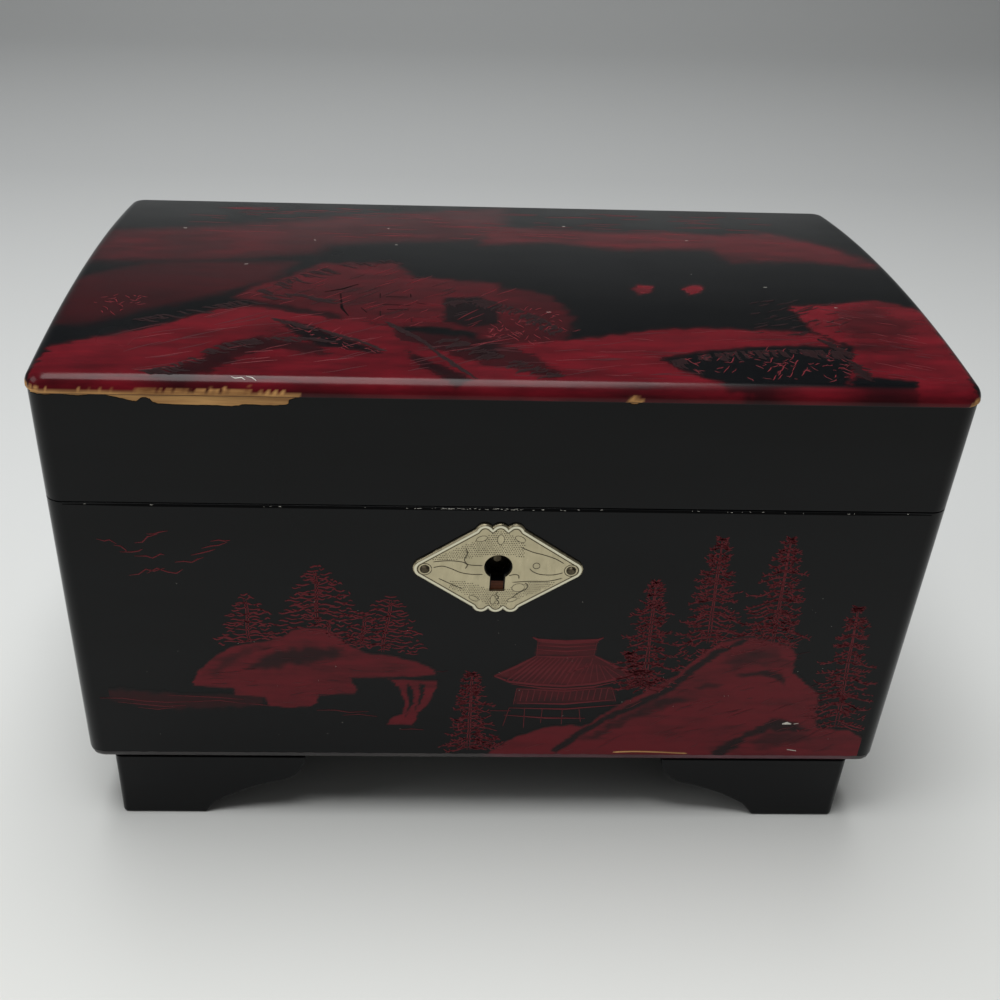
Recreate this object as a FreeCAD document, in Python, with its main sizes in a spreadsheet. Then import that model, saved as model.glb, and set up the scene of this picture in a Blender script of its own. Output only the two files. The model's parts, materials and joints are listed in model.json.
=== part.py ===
"""Musical jewellery box: a lacquered wooden case on four bracket feet, with an arched hinged lid,
a mirror and a lock in front, and a cylinder musical movement under glass at the back right.

Millimetres. +X is to the right of someone who faces the front, +Y to the back, +Z up. The origin
lies on the table, under the middle of the case.
"""
import FreeCAD, Part
import math
import os
import re

import Sketcher

V = FreeCAD.Vector
doc = FreeCAD.newDocument("musical_jewellery_box")

# Driving sizes
SIZES = {
    # the case
    "case_width": 230.0, "case_depth": 137.0, "case_height": 87.3, "wall_thickness": 8.0,
    "bottom_thickness": 6.0, "corner_radius": 5.0, "bottom_edge_radius": 3.5,
    # the bracket feet
    "foot_height": 22.7, "foot_front_length": 55.5, "foot_side_length": 44.0, "foot_thickness": 9.0,
    "foot_toe_length": 25.0, "foot_step_length": 3.5, "foot_step_height": 4.4,
    "foot_lobe_length": 8.5, "foot_lobe_height": 10.0, "foot_slope_radius": 60.0,
    "foot_lobe_radius": 10.0, "foot_corner_radius": 2.0, "foot_side_inset": 7.0,
    "foot_front_inset": 1.5,
    # the lid
    "lid_gap": 0.3, "lid_rail_height": 29.8, "lid_rail_thickness": 8.0, "lid_arch_rise": 4.0,
    "lid_panel_thickness": 4.0, "lid_overhang": 0.4, "lid_edge_radius": 3.6, "backing_depth": 13.7,
    "backing_thickness": 3.0, "mirror_width": 150.0, "mirror_depth": 88.0, "mirror_thickness": 2.5,
    "frame_width": 6.0, "frame_lip": 3.0, "frame_lip_thickness": 1.2, "frame_chamfer": 0.8,
    # the hinges
    "hinge_centre_x": 62.0, "hinge_length": 22.0, "leaf_depth": 7.0, "leaf_thickness": 0.8,
    "barrel_radius": 1.5, "hinge_pin_radius": 0.8, "hinge_clearance": 0.05, "knuckle_gap": 0.2,
    "leaf_screw_spacing": 13.2,
    # clearances and cutting margins
    "recess_clearance": 0.2, "fit_clearance": 0.1, "press_clearance": 0.02, "cut_margin": 1.0,
    # the keyhole plate
    "plate_drop": 18.4, "plate_thickness": 0.9, "plate_tip_radius": 2.9, "plate_tip_x": 20.6,
    "plate_tip_half_height": 2.6, "plate_shoulder_x": 6.3,
    "plate_shoulder_height": 12.2, "plate_valley_x": 2.0, "plate_valley_height": 12.9,
    "plate_lobe_radius": 2.5, "plate_pin_spacing": 38.2, "plate_pin_radius": 1.1,
    "plate_pin_top_radius": 0.7, "plate_pin_height": 0.6, "plate_edge_chamfer": 0.35,
    "keyhole_drop": 17.5, "keyhole_radius": 3.7, "keyhole_slot_width": 4.0, "keyhole_slot_depth": 7.7,
    "board_keyhole_radius": 3.4, "board_slot_width": 3.4, "board_slot_depth": 5.0,
    # the lock and its strike
    "lock_width": 40.0, "lock_height": 32.0, "lock_depth": 5.0, "lock_sheet": 0.8,
    "lock_flange_overlap": 4.0, "lock_post_radius": 1.0, "lock_stud_radius": 1.2,
    "lock_stud_spacing": 24.0, "bolt_travel": 3.0, "bolt_thickness": 1.4, "bolt_bar_height": 5.0,
    "bolt_bar_length": 30.0, "bolt_clearance": 0.3, "hook_spacing": 14.0, "hook_gap": 0.5,
    "hook_post_width": 2.0, "hook_root": 1.0, "hook_nose_height": 2.0, "tongue_width": 2.4,
    "tongue_thickness": 2.4,
    "tongue_drop": 7.0, "tongue_sill": 1.4, "strike_thickness": 1.0, "strike_length": 30.0,
    # lining and fittings of the inside
    "lining_thickness": 1.5, "lining_drop": 6.0, "floor_lining_thickness": 1.2,
    "partition_thickness": 4.0, "movement_well_width": 79.5, "movement_well_front_gap": 34.0,
    "partition_drop": 12.0, "roll_base_drop": 45.0, "roll_base_thickness": 3.0,
    "roll_height": 10.5, "roll_gap": 0.6, "soft_clearance": 0.3, "glass_rise": 6.42,
    "glass_thickness": 2.0, "glass_clearance": 0.3, "cleat_size": 4.0,
    # the musical movement: its bed, spring housing and gears
    "winding_side_gap": 57.5, "winding_back_gap": 33.0, "bed_boss_height": 3.0, "bed_thickness": 3.0,
    "bed_boss_radius": 3.5, "bed_boss_inset": 4.0, "bed_corner_radius": 3.0, "bed_margin": 1.5,
    "bed_end_margin": 2.2, "housing_radius": 13.5, "housing_height": 10.0, "housing_wall": 1.0,
    "arbor_radius": 2.0, "arbor_end": 1.5, "running_clearance": 0.06, "end_play": 0.3,
    "tooth_share": 0.41, "tooth_addendum": 0.8, "tooth_dedendum": 1.2,
    "crown_module": 0.5417, "crown_teeth": 48, "crown_tooth_rise": 0.38, "crown_tooth_drop": 0.53,
    "crown_face_width": 1.2, "crown_tooth_length": 1.16, "crown_disc_thickness": 1.5,
    "cylinder_pinion_teeth": 12, "pinion_overlap": 0.4, "train_module": 0.4,
    "cylinder_gear_teeth": 36, "governor_pinion_teeth": 8, "worm_wheel_teeth": 20,
    "gear_thickness": 1.2, "mesh_clearance": 0.05,
    # the cylinder, its brackets and the comb
    "cylinder_radius": 6.5, "cylinder_length": 26.0, "cylinder_pin_height": 0.5,
    "cylinder_arbor_radius": 1.0, "arbor_stub": 1.0, "arbor_overrun": 0.4,
    "bracket_thickness": 1.2, "bracket_half_width": 4.0, "bracket_rise": 3.6,
    "bracket_foot_length": 5.0, "bracket_gap": 0.6, "cylinder_gap": 0.5,
    "comb_teeth": 18, "comb_pitch": 1.4, "comb_tooth_width": 1.0, "comb_thickness": 1.0,
    "comb_tooth_length": 14.0, "comb_base_depth": 8.5, "comb_slant": 4.0, "comb_tip_gap": 0.2,
    "comb_screw_spacing": 13.0, "comb_screw_setback": 3.25,
    # the speed governor and its fan
    "small_arbor_radius": 0.6, "governor_overrun": 0.3, "worm_wheel_gap": 1.0, "worm_offset": 1.2,
    "worm_root_radius": 0.7, "fan_radius": 4.0, "fan_height": 4.0, "fan_rise": 4.9,
    "fan_hub_radius": 1.2, "blade_thickness": 0.5, "fan_clearance": 0.9, "column_depth": 3.0,
    "column_reach": 2.8, "arm_thickness": 1.5, "arm_reach": 1.8, "upper_arm_rise": 9.8,
    "lower_arm_rise": 4.0, "bearing_plate_reach": 2.4, "bearing_plate_drop": 3.2,
    # the winding key
    "key_width": 25.0, "key_height": 10.0, "key_thickness": 2.6, "key_corner_radius": 3.0,
    "key_hub_radius": 4.2, "key_hub_lap": 4.5, "key_socket_depth": 2.0, "key_board_gap": 1.2,
    "key_floor_gap": 5.0, "hub_clearance": 0.8,
    # the rod that stops the fan when the lid is shut
    "stop_side_gap": 3.7, "stop_fan_offset": 0.1, "stop_rod_radius": 1.0, "stop_rod_gap": 0.3,
    "pusher_rise": 1.7, "pusher_half_width": 4.0, "glass_hole_radius": 1.8, "guide_radius": 3.2,
    "guide_height": 22.0, "guide_wall": 0.7, "guide_end": 2.0, "guide_rise": 4.0,
    "guide_block_half_width": 2.6, "guide_block_inset": 3.0, "collar_rise": 8.0,
    "collar_thickness": 1.5, "collar_clearance": 0.15, "stop_arm_radius": 0.6,
    "stop_arm_rise": 1.5, "stop_arm_gap": 0.6, "spring_wire_radius": 0.2, "spring_turns": 5,
    # fasteners
    "screw_radius": 0.9, "screw_head_radius": 1.7, "screw_head_height": 0.5, "screw_length": 5.0,
    "screw_edge": 0.8, "machine_screw_radius": 1.2, "machine_head_radius": 2.3,
    "machine_head_height": 1.3, "bed_screw_length": 10.3, "bed_hole_depth": 5.0,
    "comb_screw_length": 6.0,
}

# Places that the sheet works out. The movement is a bought-in part of a set size, so it keeps its
# distance from the right and back walls, and its glass and stop rod keep their place over it.
PLACES = {
    "lined_x": "case_width / 2 - wall_thickness - lining_thickness",
    "lined_y": "case_depth / 2 - wall_thickness - lining_thickness",
    "well_right_x": "lined_x - movement_well_width - partition_thickness",
    "winding_x": "lined_x - winding_side_gap",
    "winding_y": "lined_y - winding_back_gap",
    "movement_front_y": "winding_y - movement_well_front_gap",
    "stop_x": "lined_x - stop_side_gap",
    "stop_y": "winding_y + train_module * (cylinder_gear_teeth + governor_pinion_teeth) / 2"
              " + mesh_clearance + train_module * worm_wheel_teeth / 2 + worm_offset + stop_fan_offset",
    "glass_z": "foot_height + bottom_thickness + bed_boss_height + bed_thickness + housing_height"
               " + end_play + crown_disc_thickness + crown_tooth_drop"
               " + crown_module * cylinder_pinion_teeth / 2 + upper_arm_rise + arm_thickness"
               " + glass_rise",
}

sheet = doc.addObject("Spreadsheet::Sheet", "sizes")
for row, (alias, number) in enumerate(list(SIZES.items()) + list(PLACES.items()), 1):
    sheet.set("A%d" % row, alias)
    sheet.set("B%d" % row, "=" + number if alias in PLACES else str(number))
    sheet.setAlias("B%d" % row, alias)
doc.recompute()


NAMES = set(SIZES) | set(PLACES)


def full(expression):
    """Puts the sheet's name before each size in an expression."""
    return re.sub(r"[a-z][a-z_]+", lambda m: "sizes." + m[0] if m[0] in NAMES else m[0], expression)


def value(expression):
    """The number that an expression of sizes gives now."""
    return float(sheet.evalExpression(full(expression)))


def bind(thing, prop, expression):
    thing.setExpression(prop, full(expression))


# Places that several pieces share
HALF_W = "(case_width / 2)"
HALF_D = "(case_depth / 2)"
INNER_X = "(case_width / 2 - wall_thickness)"
INNER_Y = "(case_depth / 2 - wall_thickness)"
LINED_X = "lined_x"
LINED_Y = "lined_y"
RIM = "(foot_height + case_height)"
FLOOR = "(foot_height + bottom_thickness)"
LID_Z = "(foot_height + case_height + lid_gap)"
HINGE_Z = "(foot_height + case_height + lid_gap / 2)"
RAIL_TOP = "(foot_height + case_height + lid_gap + lid_rail_height)"
LID_INNER_X = "(case_width / 2 - lid_rail_thickness)"
LID_INNER_Y = "(case_depth / 2 - lid_rail_thickness)"
ARCH_RADIUS = "((case_depth * case_depth / 4 + lid_arch_rise * lid_arch_rise) / (2 * lid_arch_rise))"
BACKING_Z = "(foot_height + case_height + lid_gap + backing_depth)"
PUSHER_Z = "(foot_height + case_height + lid_gap + pusher_rise)"
BARREL_RECESS = "(barrel_radius + recess_clearance)"
KEYHOLE_Z = "(foot_height + case_height - keyhole_drop)"
PLATE_Z = "(foot_height + case_height - plate_drop)"


# Small tools for bodies, sketches and features
def body(label):
    piece = doc.addObject("PartDesign::Body", label)
    piece.Label = label
    doc.recompute()
    return piece


def sketch(piece, plane, offset="0"):
    """A sketch on one of the body's own origin planes, moved along the plane's normal."""
    made = piece.newObject("Sketcher::SketchObject", piece.Label + "_sketch")
    origin = [feature for feature in piece.Origin.OriginFeatures if feature.Role == plane + "_Plane"]
    made.AttachmentSupport = [(origin[0], "")]
    made.MapMode = "FlatFace"
    if offset != "0":
        bind(made, ".AttachmentOffset.Base.z", offset)
    return made


def hold(made, geometry, end, x, y):
    """Ties a sketch point to expressions of sizes."""
    for kind, expression in (("DistanceX", x), ("DistanceY", y)):
        rule = made.addConstraint(Sketcher.Constraint(kind, -1, 1, geometry, end, value(expression)))
        bind(made, "Constraints[%d]" % rule, expression)


def outline(made, corners, bends=None):
    """A closed chain of straight edges through the corners. bends gives the edges that are arcs:
    edge number to radius and side, 1 with the centre on the left of the way round, -1 on the right."""
    bends = bends or {}
    points = [V(value(x), value(y), 0) for x, y in corners]
    ends = []
    for number, start in enumerate(points):
        finish = points[(number + 1) % len(points)]
        if number not in bends:
            edge = made.addGeometry(Part.LineSegment(start, finish), False)
            ends.append((edge, 1, 2))
            continue
        radius, side = value(bends[number][0]), bends[number][1]
        chord = finish - start
        left = V(-chord.y, chord.x, 0).normalize()
        depth = math.sqrt(max(radius ** 2 - (chord.Length / 2) ** 2, 0.0))
        centre = (start + finish) * 0.5 + left * side * depth
        edge = made.addGeometry(Part.Arc(start, centre - left * side * radius, finish), False)
        ends.append((edge, 1, 2) if side > 0 else (edge, 2, 1))
        rule = made.addConstraint(Sketcher.Constraint("Radius", edge, radius))
        bind(made, "Constraints[%d]" % rule, bends[number][0])
    for number, (edge, first, last) in enumerate(ends):
        after = ends[(number + 1) % len(ends)]
        made.addConstraint(Sketcher.Constraint("Coincident", edge, last, after[0], after[1]))
        hold(made, edge, first, *corners[number])


def rectangle(made, x_low, x_high, y_low, y_high):
    outline(made, [(x_low, y_low), (x_high, y_low), (x_high, y_high), (x_low, y_high)])


def circle(made, x, y, radius):
    edge = made.addGeometry(Part.Circle(V(value(x), value(y), 0), V(0, 0, 1), value(radius)), False)
    rule = made.addConstraint(Sketcher.Constraint("Radius", edge, value(radius)))
    bind(made, "Constraints[%d]" % rule, radius)
    hold(made, edge, 3, x, y)


def grow(piece, made, length, kind="Pad", reverse=False):
    """Pads or pockets a sketch by a length along its plane's normal, or against it if reversed."""
    feature = piece.newObject("PartDesign::" + kind, piece.Label + "_" + kind.lower())
    feature.Profile = made
    bind(feature, "Length", length)
    feature.Reversed = reverse
    doc.recompute()
    return feature


def dress(piece, kind, size, wanted):
    """Fillets or chamfers the edges of the body that wanted picks by their middle point."""
    base = piece.Tip
    names = []
    for number, edge in enumerate(base.Shape.Edges, 1):
        if wanted(edge, edge.valueAt((edge.FirstParameter + edge.LastParameter) / 2)):
            names.append("Edge%d" % number)
    feature = piece.newObject("PartDesign::" + kind, piece.Label + "_" + kind.lower())
    feature.Base = (base, names)
    bind(feature, "Radius" if kind == "Fillet" else "Size", size)
    doc.recompute()
    return feature


def near(a, b):
    return abs(a - b) < 0.01


def upright(edge):
    """True for a straight edge along Z."""
    first, last = edge.Vertexes[0].Point, edge.Vertexes[-1].Point
    return near(first.x, last.x) and near(first.y, last.y) and not near(first.z, last.z)


def box(label, x_low, x_high, y_low, y_high, z_low, z_high):
    made = doc.addObject("Part::Box", label)
    made.Label = label
    for prop, low, high in (("Length", x_low, x_high), ("Width", y_low, y_high), ("Height", z_low, z_high)):
        bind(made, prop, "(%s) - (%s)" % (high, low))
    bind(made, ".Placement.Base.x", x_low)
    bind(made, ".Placement.Base.y", y_low)
    bind(made, ".Placement.Base.z", z_low)
    return made


AXES = {"X": V(1, 0, 0), "Y": V(0, 1, 0), "Z": V(0, 0, 1)}


def rod(label, axis, x, y, z, radius, length, top_radius=None):
    """A round bar, or a cone where it has a second radius, that starts at a point and runs along an axis."""
    made = doc.addObject("Part::Cylinder" if top_radius is None else "Part::Cone", label)
    made.Label = label
    if top_radius is None:
        bind(made, "Radius", radius)
    else:
        bind(made, "Radius1", radius)
        bind(made, "Radius2", top_radius)
    bind(made, "Height", length)
    made.Placement.Rotation = FreeCAD.Rotation(V(0, 0, 1), AXES[axis])
    bind(made, ".Placement.Base.x", x)
    bind(made, ".Placement.Base.y", y)
    bind(made, ".Placement.Base.z", z)
    return made


def joined(label, pieces):
    made = doc.addObject("Part::MultiFuse", label)
    made.Label = label
    made.Shapes = pieces
    return made


def cut(label, base, tool):
    made = doc.addObject("Part::Cut", label)
    made.Label = label
    made.Base = base
    made.Tool = tool
    return made


def group(label, pieces):
    """Separate solids that make up one node."""
    made = doc.addObject("Part::Compound", label)
    made.Label = label
    made.Links = pieces
    return made


def shaped(label, shape, placement=None):
    """A piece whose shape is worked out here from the sheet's sizes."""
    made = doc.addObject("Part::Feature", label)
    made.Label = label
    made.Shape = shape
    made.Placement = placement or FreeCAD.Placement()
    return made


SIDES = (("left", -1), ("right", 1))
KNUCKLES = 5


# The case
def round_case_board(piece):
    """Rounds the upright outer corners and then the lower outer edge of a front or back board."""
    half_w, half_d, low = value(HALF_W), value(HALF_D), value("foot_height")
    dress(piece, "Fillet", "corner_radius",
          lambda edge, mid: upright(edge) and near(abs(mid.x), half_w) and near(abs(mid.y), half_d))
    inner = value(INNER_Y)
    dress(piece, "Fillet", "bottom_edge_radius",
          lambda edge, mid: near(mid.z, low) and abs(mid.y) > inner + 0.01)


def front_board():
    piece = body("front_board")
    face = sketch(piece, "XZ", INNER_Y)
    rectangle(face, "-" + HALF_W, HALF_W, "foot_height", RIM)
    grow(piece, face, "wall_thickness")
    round_case_board(piece)
    mortise = sketch(piece, "XZ", INNER_Y)
    rectangle(mortise, "-lock_width / 2", "lock_width / 2", RIM + " - lock_height", RIM)
    grow(piece, mortise, "lock_depth", "Pocket", True)
    seat = sketch(piece, "XZ", INNER_Y)
    rectangle(seat, "-lock_width / 2 - lock_flange_overlap", "lock_width / 2 + lock_flange_overlap",
              RIM + " - lock_sheet", RIM)
    grow(piece, seat, "lock_depth", "Pocket", True)
    keyhole = sketch(piece, "XZ", INNER_Y)
    keyhole_outline(keyhole, "board_keyhole_radius", "board_slot_width / 2", "board_slot_depth")
    grow(piece, keyhole, "wall_thickness", "Pocket", True)
    for x, y in flange_screws():
        pilot(piece, x, y, RIM, False)


def keyhole_outline(made, radius, half_slot, depth):
    """A round hole with a slot below it."""
    shoulder = "%s - sqrt(%s * %s - (%s) * (%s))" % (KEYHOLE_Z, radius, radius, half_slot, half_slot)
    bottom = "%s - %s" % (KEYHOLE_Z, depth)
    top = "%s + %s" % (KEYHOLE_Z, radius)
    outline(made, [("-(%s)" % half_slot, bottom), (half_slot, bottom), (half_slot, shoulder),
                   (radius, KEYHOLE_Z), ("0", top), ("-" + radius, KEYHOLE_Z),
                   ("-(%s)" % half_slot, shoulder)],
            {2: (radius, 1), 3: (radius, 1), 4: (radius, 1), 5: (radius, 1)})


def hinge_recesses(piece, plate_low, plate_high):
    """Lets the two leaves and the barrels of the hinges into the edge of a back board or rail."""
    half = "(hinge_length / 2 + recess_clearance)"
    for side, sign in SIDES:
        centre = "%d * hinge_centre_x" % sign
        leaf = sketch(piece, "YZ", "%s - %s" % (centre, half))
        rectangle(leaf, HALF_D + " - leaf_depth - recess_clearance", HALF_D + " + cut_margin",
                  plate_low, plate_high)
        grow(piece, leaf, "hinge_length + 2 * recess_clearance", "Pocket", True)
        barrel = sketch(piece, "YZ", "%s - %s" % (centre, half))
        circle(barrel, HALF_D, HINGE_Z, BARREL_RECESS)
        grow(piece, barrel, "hinge_length + 2 * recess_clearance", "Pocket", True)


def back_board():
    piece = body("back_board")
    face = sketch(piece, "XZ", "-" + HALF_D)
    rectangle(face, "-" + HALF_W, HALF_W, "foot_height", RIM)
    grow(piece, face, "wall_thickness")
    round_case_board(piece)
    hinge_recesses(piece, RIM + " - leaf_thickness", RIM + " + lid_gap")
    for side, sign in SIDES:
        for x, y in leaf_screws(sign):
            pilot(piece, x, y, RIM, False)


def side_board(side, sign):
    piece = body(side + "_board")
    face = sketch(piece, "XZ", "-" + INNER_Y)
    low, high = sorted((value("%d * %s" % (sign, HALF_W)), value("%d * %s" % (sign, INNER_X))))
    edges = {-1: ("-" + HALF_W, "-" + INNER_X), 1: (INNER_X, HALF_W)}[sign]
    rectangle(face, edges[0], edges[1], "foot_height", RIM)
    grow(piece, face, "2 * " + INNER_Y)
    outer = low if sign < 0 else high
    dress(piece, "Fillet", "bottom_edge_radius",
          lambda edge, mid: near(mid.z, value("foot_height")) and near(mid.x, outer))


def bottom_board():
    piece = body("bottom_board")
    plan = sketch(piece, "XY", "foot_height")
    rectangle(plan, "-" + INNER_X, INNER_X, "-" + INNER_Y, INNER_Y)
    circle(plan, "winding_x", "winding_y", "key_hub_radius + hub_clearance")
    grow(piece, plan, "bottom_thickness")
    for x, y in bed_corners():
        shank = sketch(piece, "XY", "foot_height")
        circle(shank, x, y, "machine_screw_radius + fit_clearance")
        grow(piece, shank, "bottom_thickness", "Pocket", True)
        head = sketch(piece, "XY", "foot_height")
        circle(head, x, y, "machine_head_radius + recess_clearance")
        grow(piece, head, "machine_head_height + recess_clearance", "Pocket", True)


def foot(depth_name, depth_sign, side, sign):
    """A bracket foot: two ogee arms that meet at the corner, one along the front or back and one
    along the side."""
    piece = body("foot_%s_%s" % (depth_name, side))
    outer_x = "(%s - foot_side_inset)" % HALF_W
    outer_y = "(%s - foot_front_inset)" % HALF_D

    def arm(length, outer, way):
        """The arm's face, drawn from its outer end inwards."""
        def at(reach):
            return "%d * (%s - (%s))" % (way, outer, reach)
        corners = [(at("0"), "0"), (at("foot_toe_length"), "0"),
                   (at("foot_toe_length + foot_step_length"), "foot_step_height"),
                   (at(length + " - foot_lobe_length"), "foot_height - foot_lobe_height"),
                   (at(length), "foot_height"), (at("0"), "foot_height")]
        return corners, {2: ("foot_slope_radius", -way), 3: ("foot_lobe_radius", way)}

    front = sketch(piece, "XZ", outer_y + " - foot_thickness" if depth_sign < 0 else "-" + outer_y)
    corners, bends = arm("foot_front_length", outer_x, sign)
    outline(front, corners, {number: (radius, -turn) for number, (radius, turn) in bends.items()})
    grow(piece, front, "foot_thickness")
    flank = sketch(piece, "YZ", "%s - foot_thickness" % outer_x if sign > 0 else "-" + outer_x)
    corners, bends = arm("foot_side_length", outer_y, depth_sign)
    outline(flank, corners, {number: (radius, -turn) for number, (radius, turn) in bends.items()})
    grow(piece, flank, "foot_thickness")
    half_x, half_y = value(outer_x), value(outer_y)
    dress(piece, "Fillet", "foot_corner_radius",
          lambda edge, mid: upright(edge) and near(abs(mid.x), half_x) and near(abs(mid.y), half_y))


# The keyhole plate and the lock
def keyhole_plate():
    """A diamond plate with round tips at the sides and three lobes above and below."""
    piece = body("keyhole_plate")
    face = sketch(piece, "XZ", HALF_D)
    quarter = [("plate_tip_x", "plate_tip_half_height"), ("plate_shoulder_x", "plate_shoulder_height"),
               ("plate_valley_x", "plate_valley_height")]
    corners = [(x, "%s + %s" % (PLATE_Z, z)) for x, z in quarter]
    corners += [("-" + x, "%s + %s" % (PLATE_Z, z)) for x, z in reversed(quarter)]
    corners += [("-" + x, "%s - %s" % (PLATE_Z, z)) for x, z in quarter]
    corners += [(x, "%s - %s" % (PLATE_Z, z)) for x, z in reversed(quarter)]
    tip, lobe = ("plate_tip_radius", 1), ("plate_lobe_radius", 1)
    outline(face, corners, {1: lobe, 2: lobe, 3: lobe, 5: tip, 7: lobe, 8: lobe, 9: lobe, 11: tip})
    grow(piece, face, "plate_thickness")
    front = value(HALF_D) + value("plate_thickness")
    dress(piece, "Chamfer", "plate_edge_chamfer", lambda edge, mid: near(mid.y, -front))
    keyhole = sketch(piece, "XZ", HALF_D)
    keyhole_outline(keyhole, "keyhole_radius", "keyhole_slot_width / 2", "keyhole_slot_depth")
    grow(piece, keyhole, "plate_thickness", "Pocket", True)


def keyhole_plate_pins():
    """Two round pins with low domed heads."""
    pins = []
    face = "(-%s - plate_thickness)" % HALF_D
    for side, sign in SIDES:
        x = "%d * plate_pin_spacing / 2" % sign
        pins.append(rod("plate_pin_" + side, "Y", x, face + " - plate_pin_height", PLATE_Z,
                        "plate_pin_top_radius", "plate_pin_height", "plate_pin_radius"))
    group("keyhole_plate_pins", pins)


LOCK_HALF = "(lock_width / 2 - recess_clearance)"
LOCK_FACE = "(case_depth / 2 - wall_thickness + lock_depth - recess_clearance)"
LOCK_MIDDLE = "(case_depth / 2 - wall_thickness + lock_depth / 2 - recess_clearance / 2)"
TONGUE_LOW = "(foot_height + case_height + lid_gap - tongue_drop)"
BAR_TOP = "(foot_height + case_height + lid_gap - tongue_drop - 2 * bolt_clearance)"
BAR_LOW = "(foot_height + case_height + lid_gap - tongue_drop - 2 * bolt_clearance - bolt_bar_height)"


def flange_screws():
    """Places of the two screws in the lock's flange."""
    x = "(%s + lock_flange_overlap / 2)" % LOCK_HALF
    return [("-" + x, "-" + LOCK_MIDDLE), (x, "-" + LOCK_MIDDLE)]


def strike_screws():
    x = "(strike_length / 2 - screw_head_radius - screw_edge)"
    y = "-(%s + %s + lock_sheet) / 2" % (LOCK_FACE, INNER_Y)
    return [("-" + x, y), (x, y)]


def lock_case():
    """A sheet case let into the front board, with a flange in the rim and slots for the strike."""
    piece = body("lock_case")
    low = "(%s - lock_height + recess_clearance)" % RIM
    shell = sketch(piece, "XZ", INNER_Y)
    rectangle(shell, "-" + LOCK_HALF, LOCK_HALF, low, RIM)
    grow(piece, shell, "lock_depth - recess_clearance")
    flange = sketch(piece, "XZ", INNER_Y)
    rectangle(flange, "-%s - lock_flange_overlap" % LOCK_HALF, LOCK_HALF + " + lock_flange_overlap",
              RIM + " - lock_sheet", RIM)
    grow(piece, flange, "lock_depth - recess_clearance")
    hollow = sketch(piece, "XZ", INNER_Y + " + lock_sheet")
    rectangle(hollow, "-%s + lock_sheet" % LOCK_HALF, LOCK_HALF + " - lock_sheet", low + " + lock_sheet",
              RIM + " - lock_sheet")
    grow(piece, hollow, "lock_depth - recess_clearance - 2 * lock_sheet", "Pocket", True)
    for side, sign in SIDES:
        slot = sketch(piece, "XY", RIM)
        centre = "%d * hook_spacing / 2" % sign
        half = "(tongue_width / 2 + hook_gap)"
        rectangle(slot, centre + " - " + half, centre + " + " + half,
                  "-%s + lock_sheet" % LOCK_FACE, "-%s - lock_sheet" % INNER_Y)
        grow(piece, slot, "lock_sheet + bolt_clearance", "Pocket")
    keyhole = sketch(piece, "XZ", INNER_Y + " + lock_sheet + bolt_clearance")
    keyhole_outline(keyhole, "board_keyhole_radius", "board_slot_width / 2", "board_slot_depth")
    grow(piece, keyhole, "lock_depth", "Pocket", True)
    within = "lock_depth - recess_clearance - lock_sheet"
    post = sketch(piece, "XZ", INNER_Y + " + lock_sheet / 2")
    circle(post, "0", KEYHOLE_Z, "lock_post_radius")
    grow(piece, post, within + " + lock_sheet / 2")
    for side, sign in SIDES:
        stud = sketch(piece, "XZ", INNER_Y + " + lock_sheet / 2")
        circle(stud, "%d * lock_stud_spacing / 2" % sign, BAR_LOW + " - bolt_clearance - lock_stud_radius",
               "lock_stud_radius")
        grow(piece, stud, within)
    for x, y in flange_screws():
        screw_seat(piece, x, y, RIM, False, "lock_sheet")


def lock_bolt():
    """The bar that slides to the right and puts two noses through the windows of the strike."""
    piece = body("lock_bolt")
    bar_half = "(lock_depth / 2 - recess_clearance / 2 - lock_sheet - bolt_clearance)"
    bar = sketch(piece, "XZ", "%s - %s" % (LOCK_MIDDLE, bar_half))
    rectangle(bar, "-bolt_bar_length / 2", "bolt_bar_length / 2", BAR_LOW, BAR_TOP)
    grow(piece, bar, "2 * " + bar_half)
    nose_low = TONGUE_LOW + " + tongue_sill + bolt_clearance"
    nose_top = nose_low + " + hook_nose_height"
    root = BAR_TOP + " - hook_root"
    for side, sign in SIDES:
        nose_x = "(%d * hook_spacing / 2 - tongue_width / 2 - hook_gap)" % sign
        post_x = "(%s - bolt_travel)" % nose_x
        post_low_x = "(%s - hook_post_width)" % post_x
        hook = sketch(piece, "XZ", "%s - bolt_thickness / 2" % LOCK_MIDDLE)
        outline(hook, [(post_low_x, root), (post_x, root), (post_x, nose_low), (nose_x, nose_low),
                       (nose_x, nose_top), (post_low_x, nose_top)])
        grow(piece, hook, "bolt_thickness")


def lid_strike():
    """The plate under the front rail of the lid, with two windowed tongues that drop into the lock."""
    piece = body("lid_strike")
    plate = sketch(piece, "XY", LID_Z)
    rectangle(plate, "-strike_length / 2", "strike_length / 2", "-" + LOCK_FACE,
              "-%s - lock_sheet" % INNER_Y)
    grow(piece, plate, "strike_thickness")
    for side, sign in SIDES:
        centre = "%d * hook_spacing / 2" % sign
        tongue = sketch(piece, "XZ", "%s - tongue_thickness / 2" % LOCK_MIDDLE)
        rectangle(tongue, centre + " - tongue_width / 2", centre + " + tongue_width / 2", TONGUE_LOW,
                  LID_Z + " + strike_thickness / 2")
        grow(piece, tongue, "tongue_thickness")
        window = sketch(piece, "YZ", centre + " - tongue_width / 2 - cut_margin")
        half = "(bolt_thickness / 2 + bolt_clearance / 2)"
        rectangle(window, "-%s - %s" % (LOCK_MIDDLE, half), "-%s + %s" % (LOCK_MIDDLE, half),
                  TONGUE_LOW + " + tongue_sill",
                  TONGUE_LOW + " + tongue_sill + hook_nose_height + 2 * bolt_clearance")
        grow(piece, window, "tongue_width + 2 * cut_margin", "Pocket", True)
    for x, y in strike_screws():
        screw_seat(piece, x, y, LID_Z, True, "strike_thickness")


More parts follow.
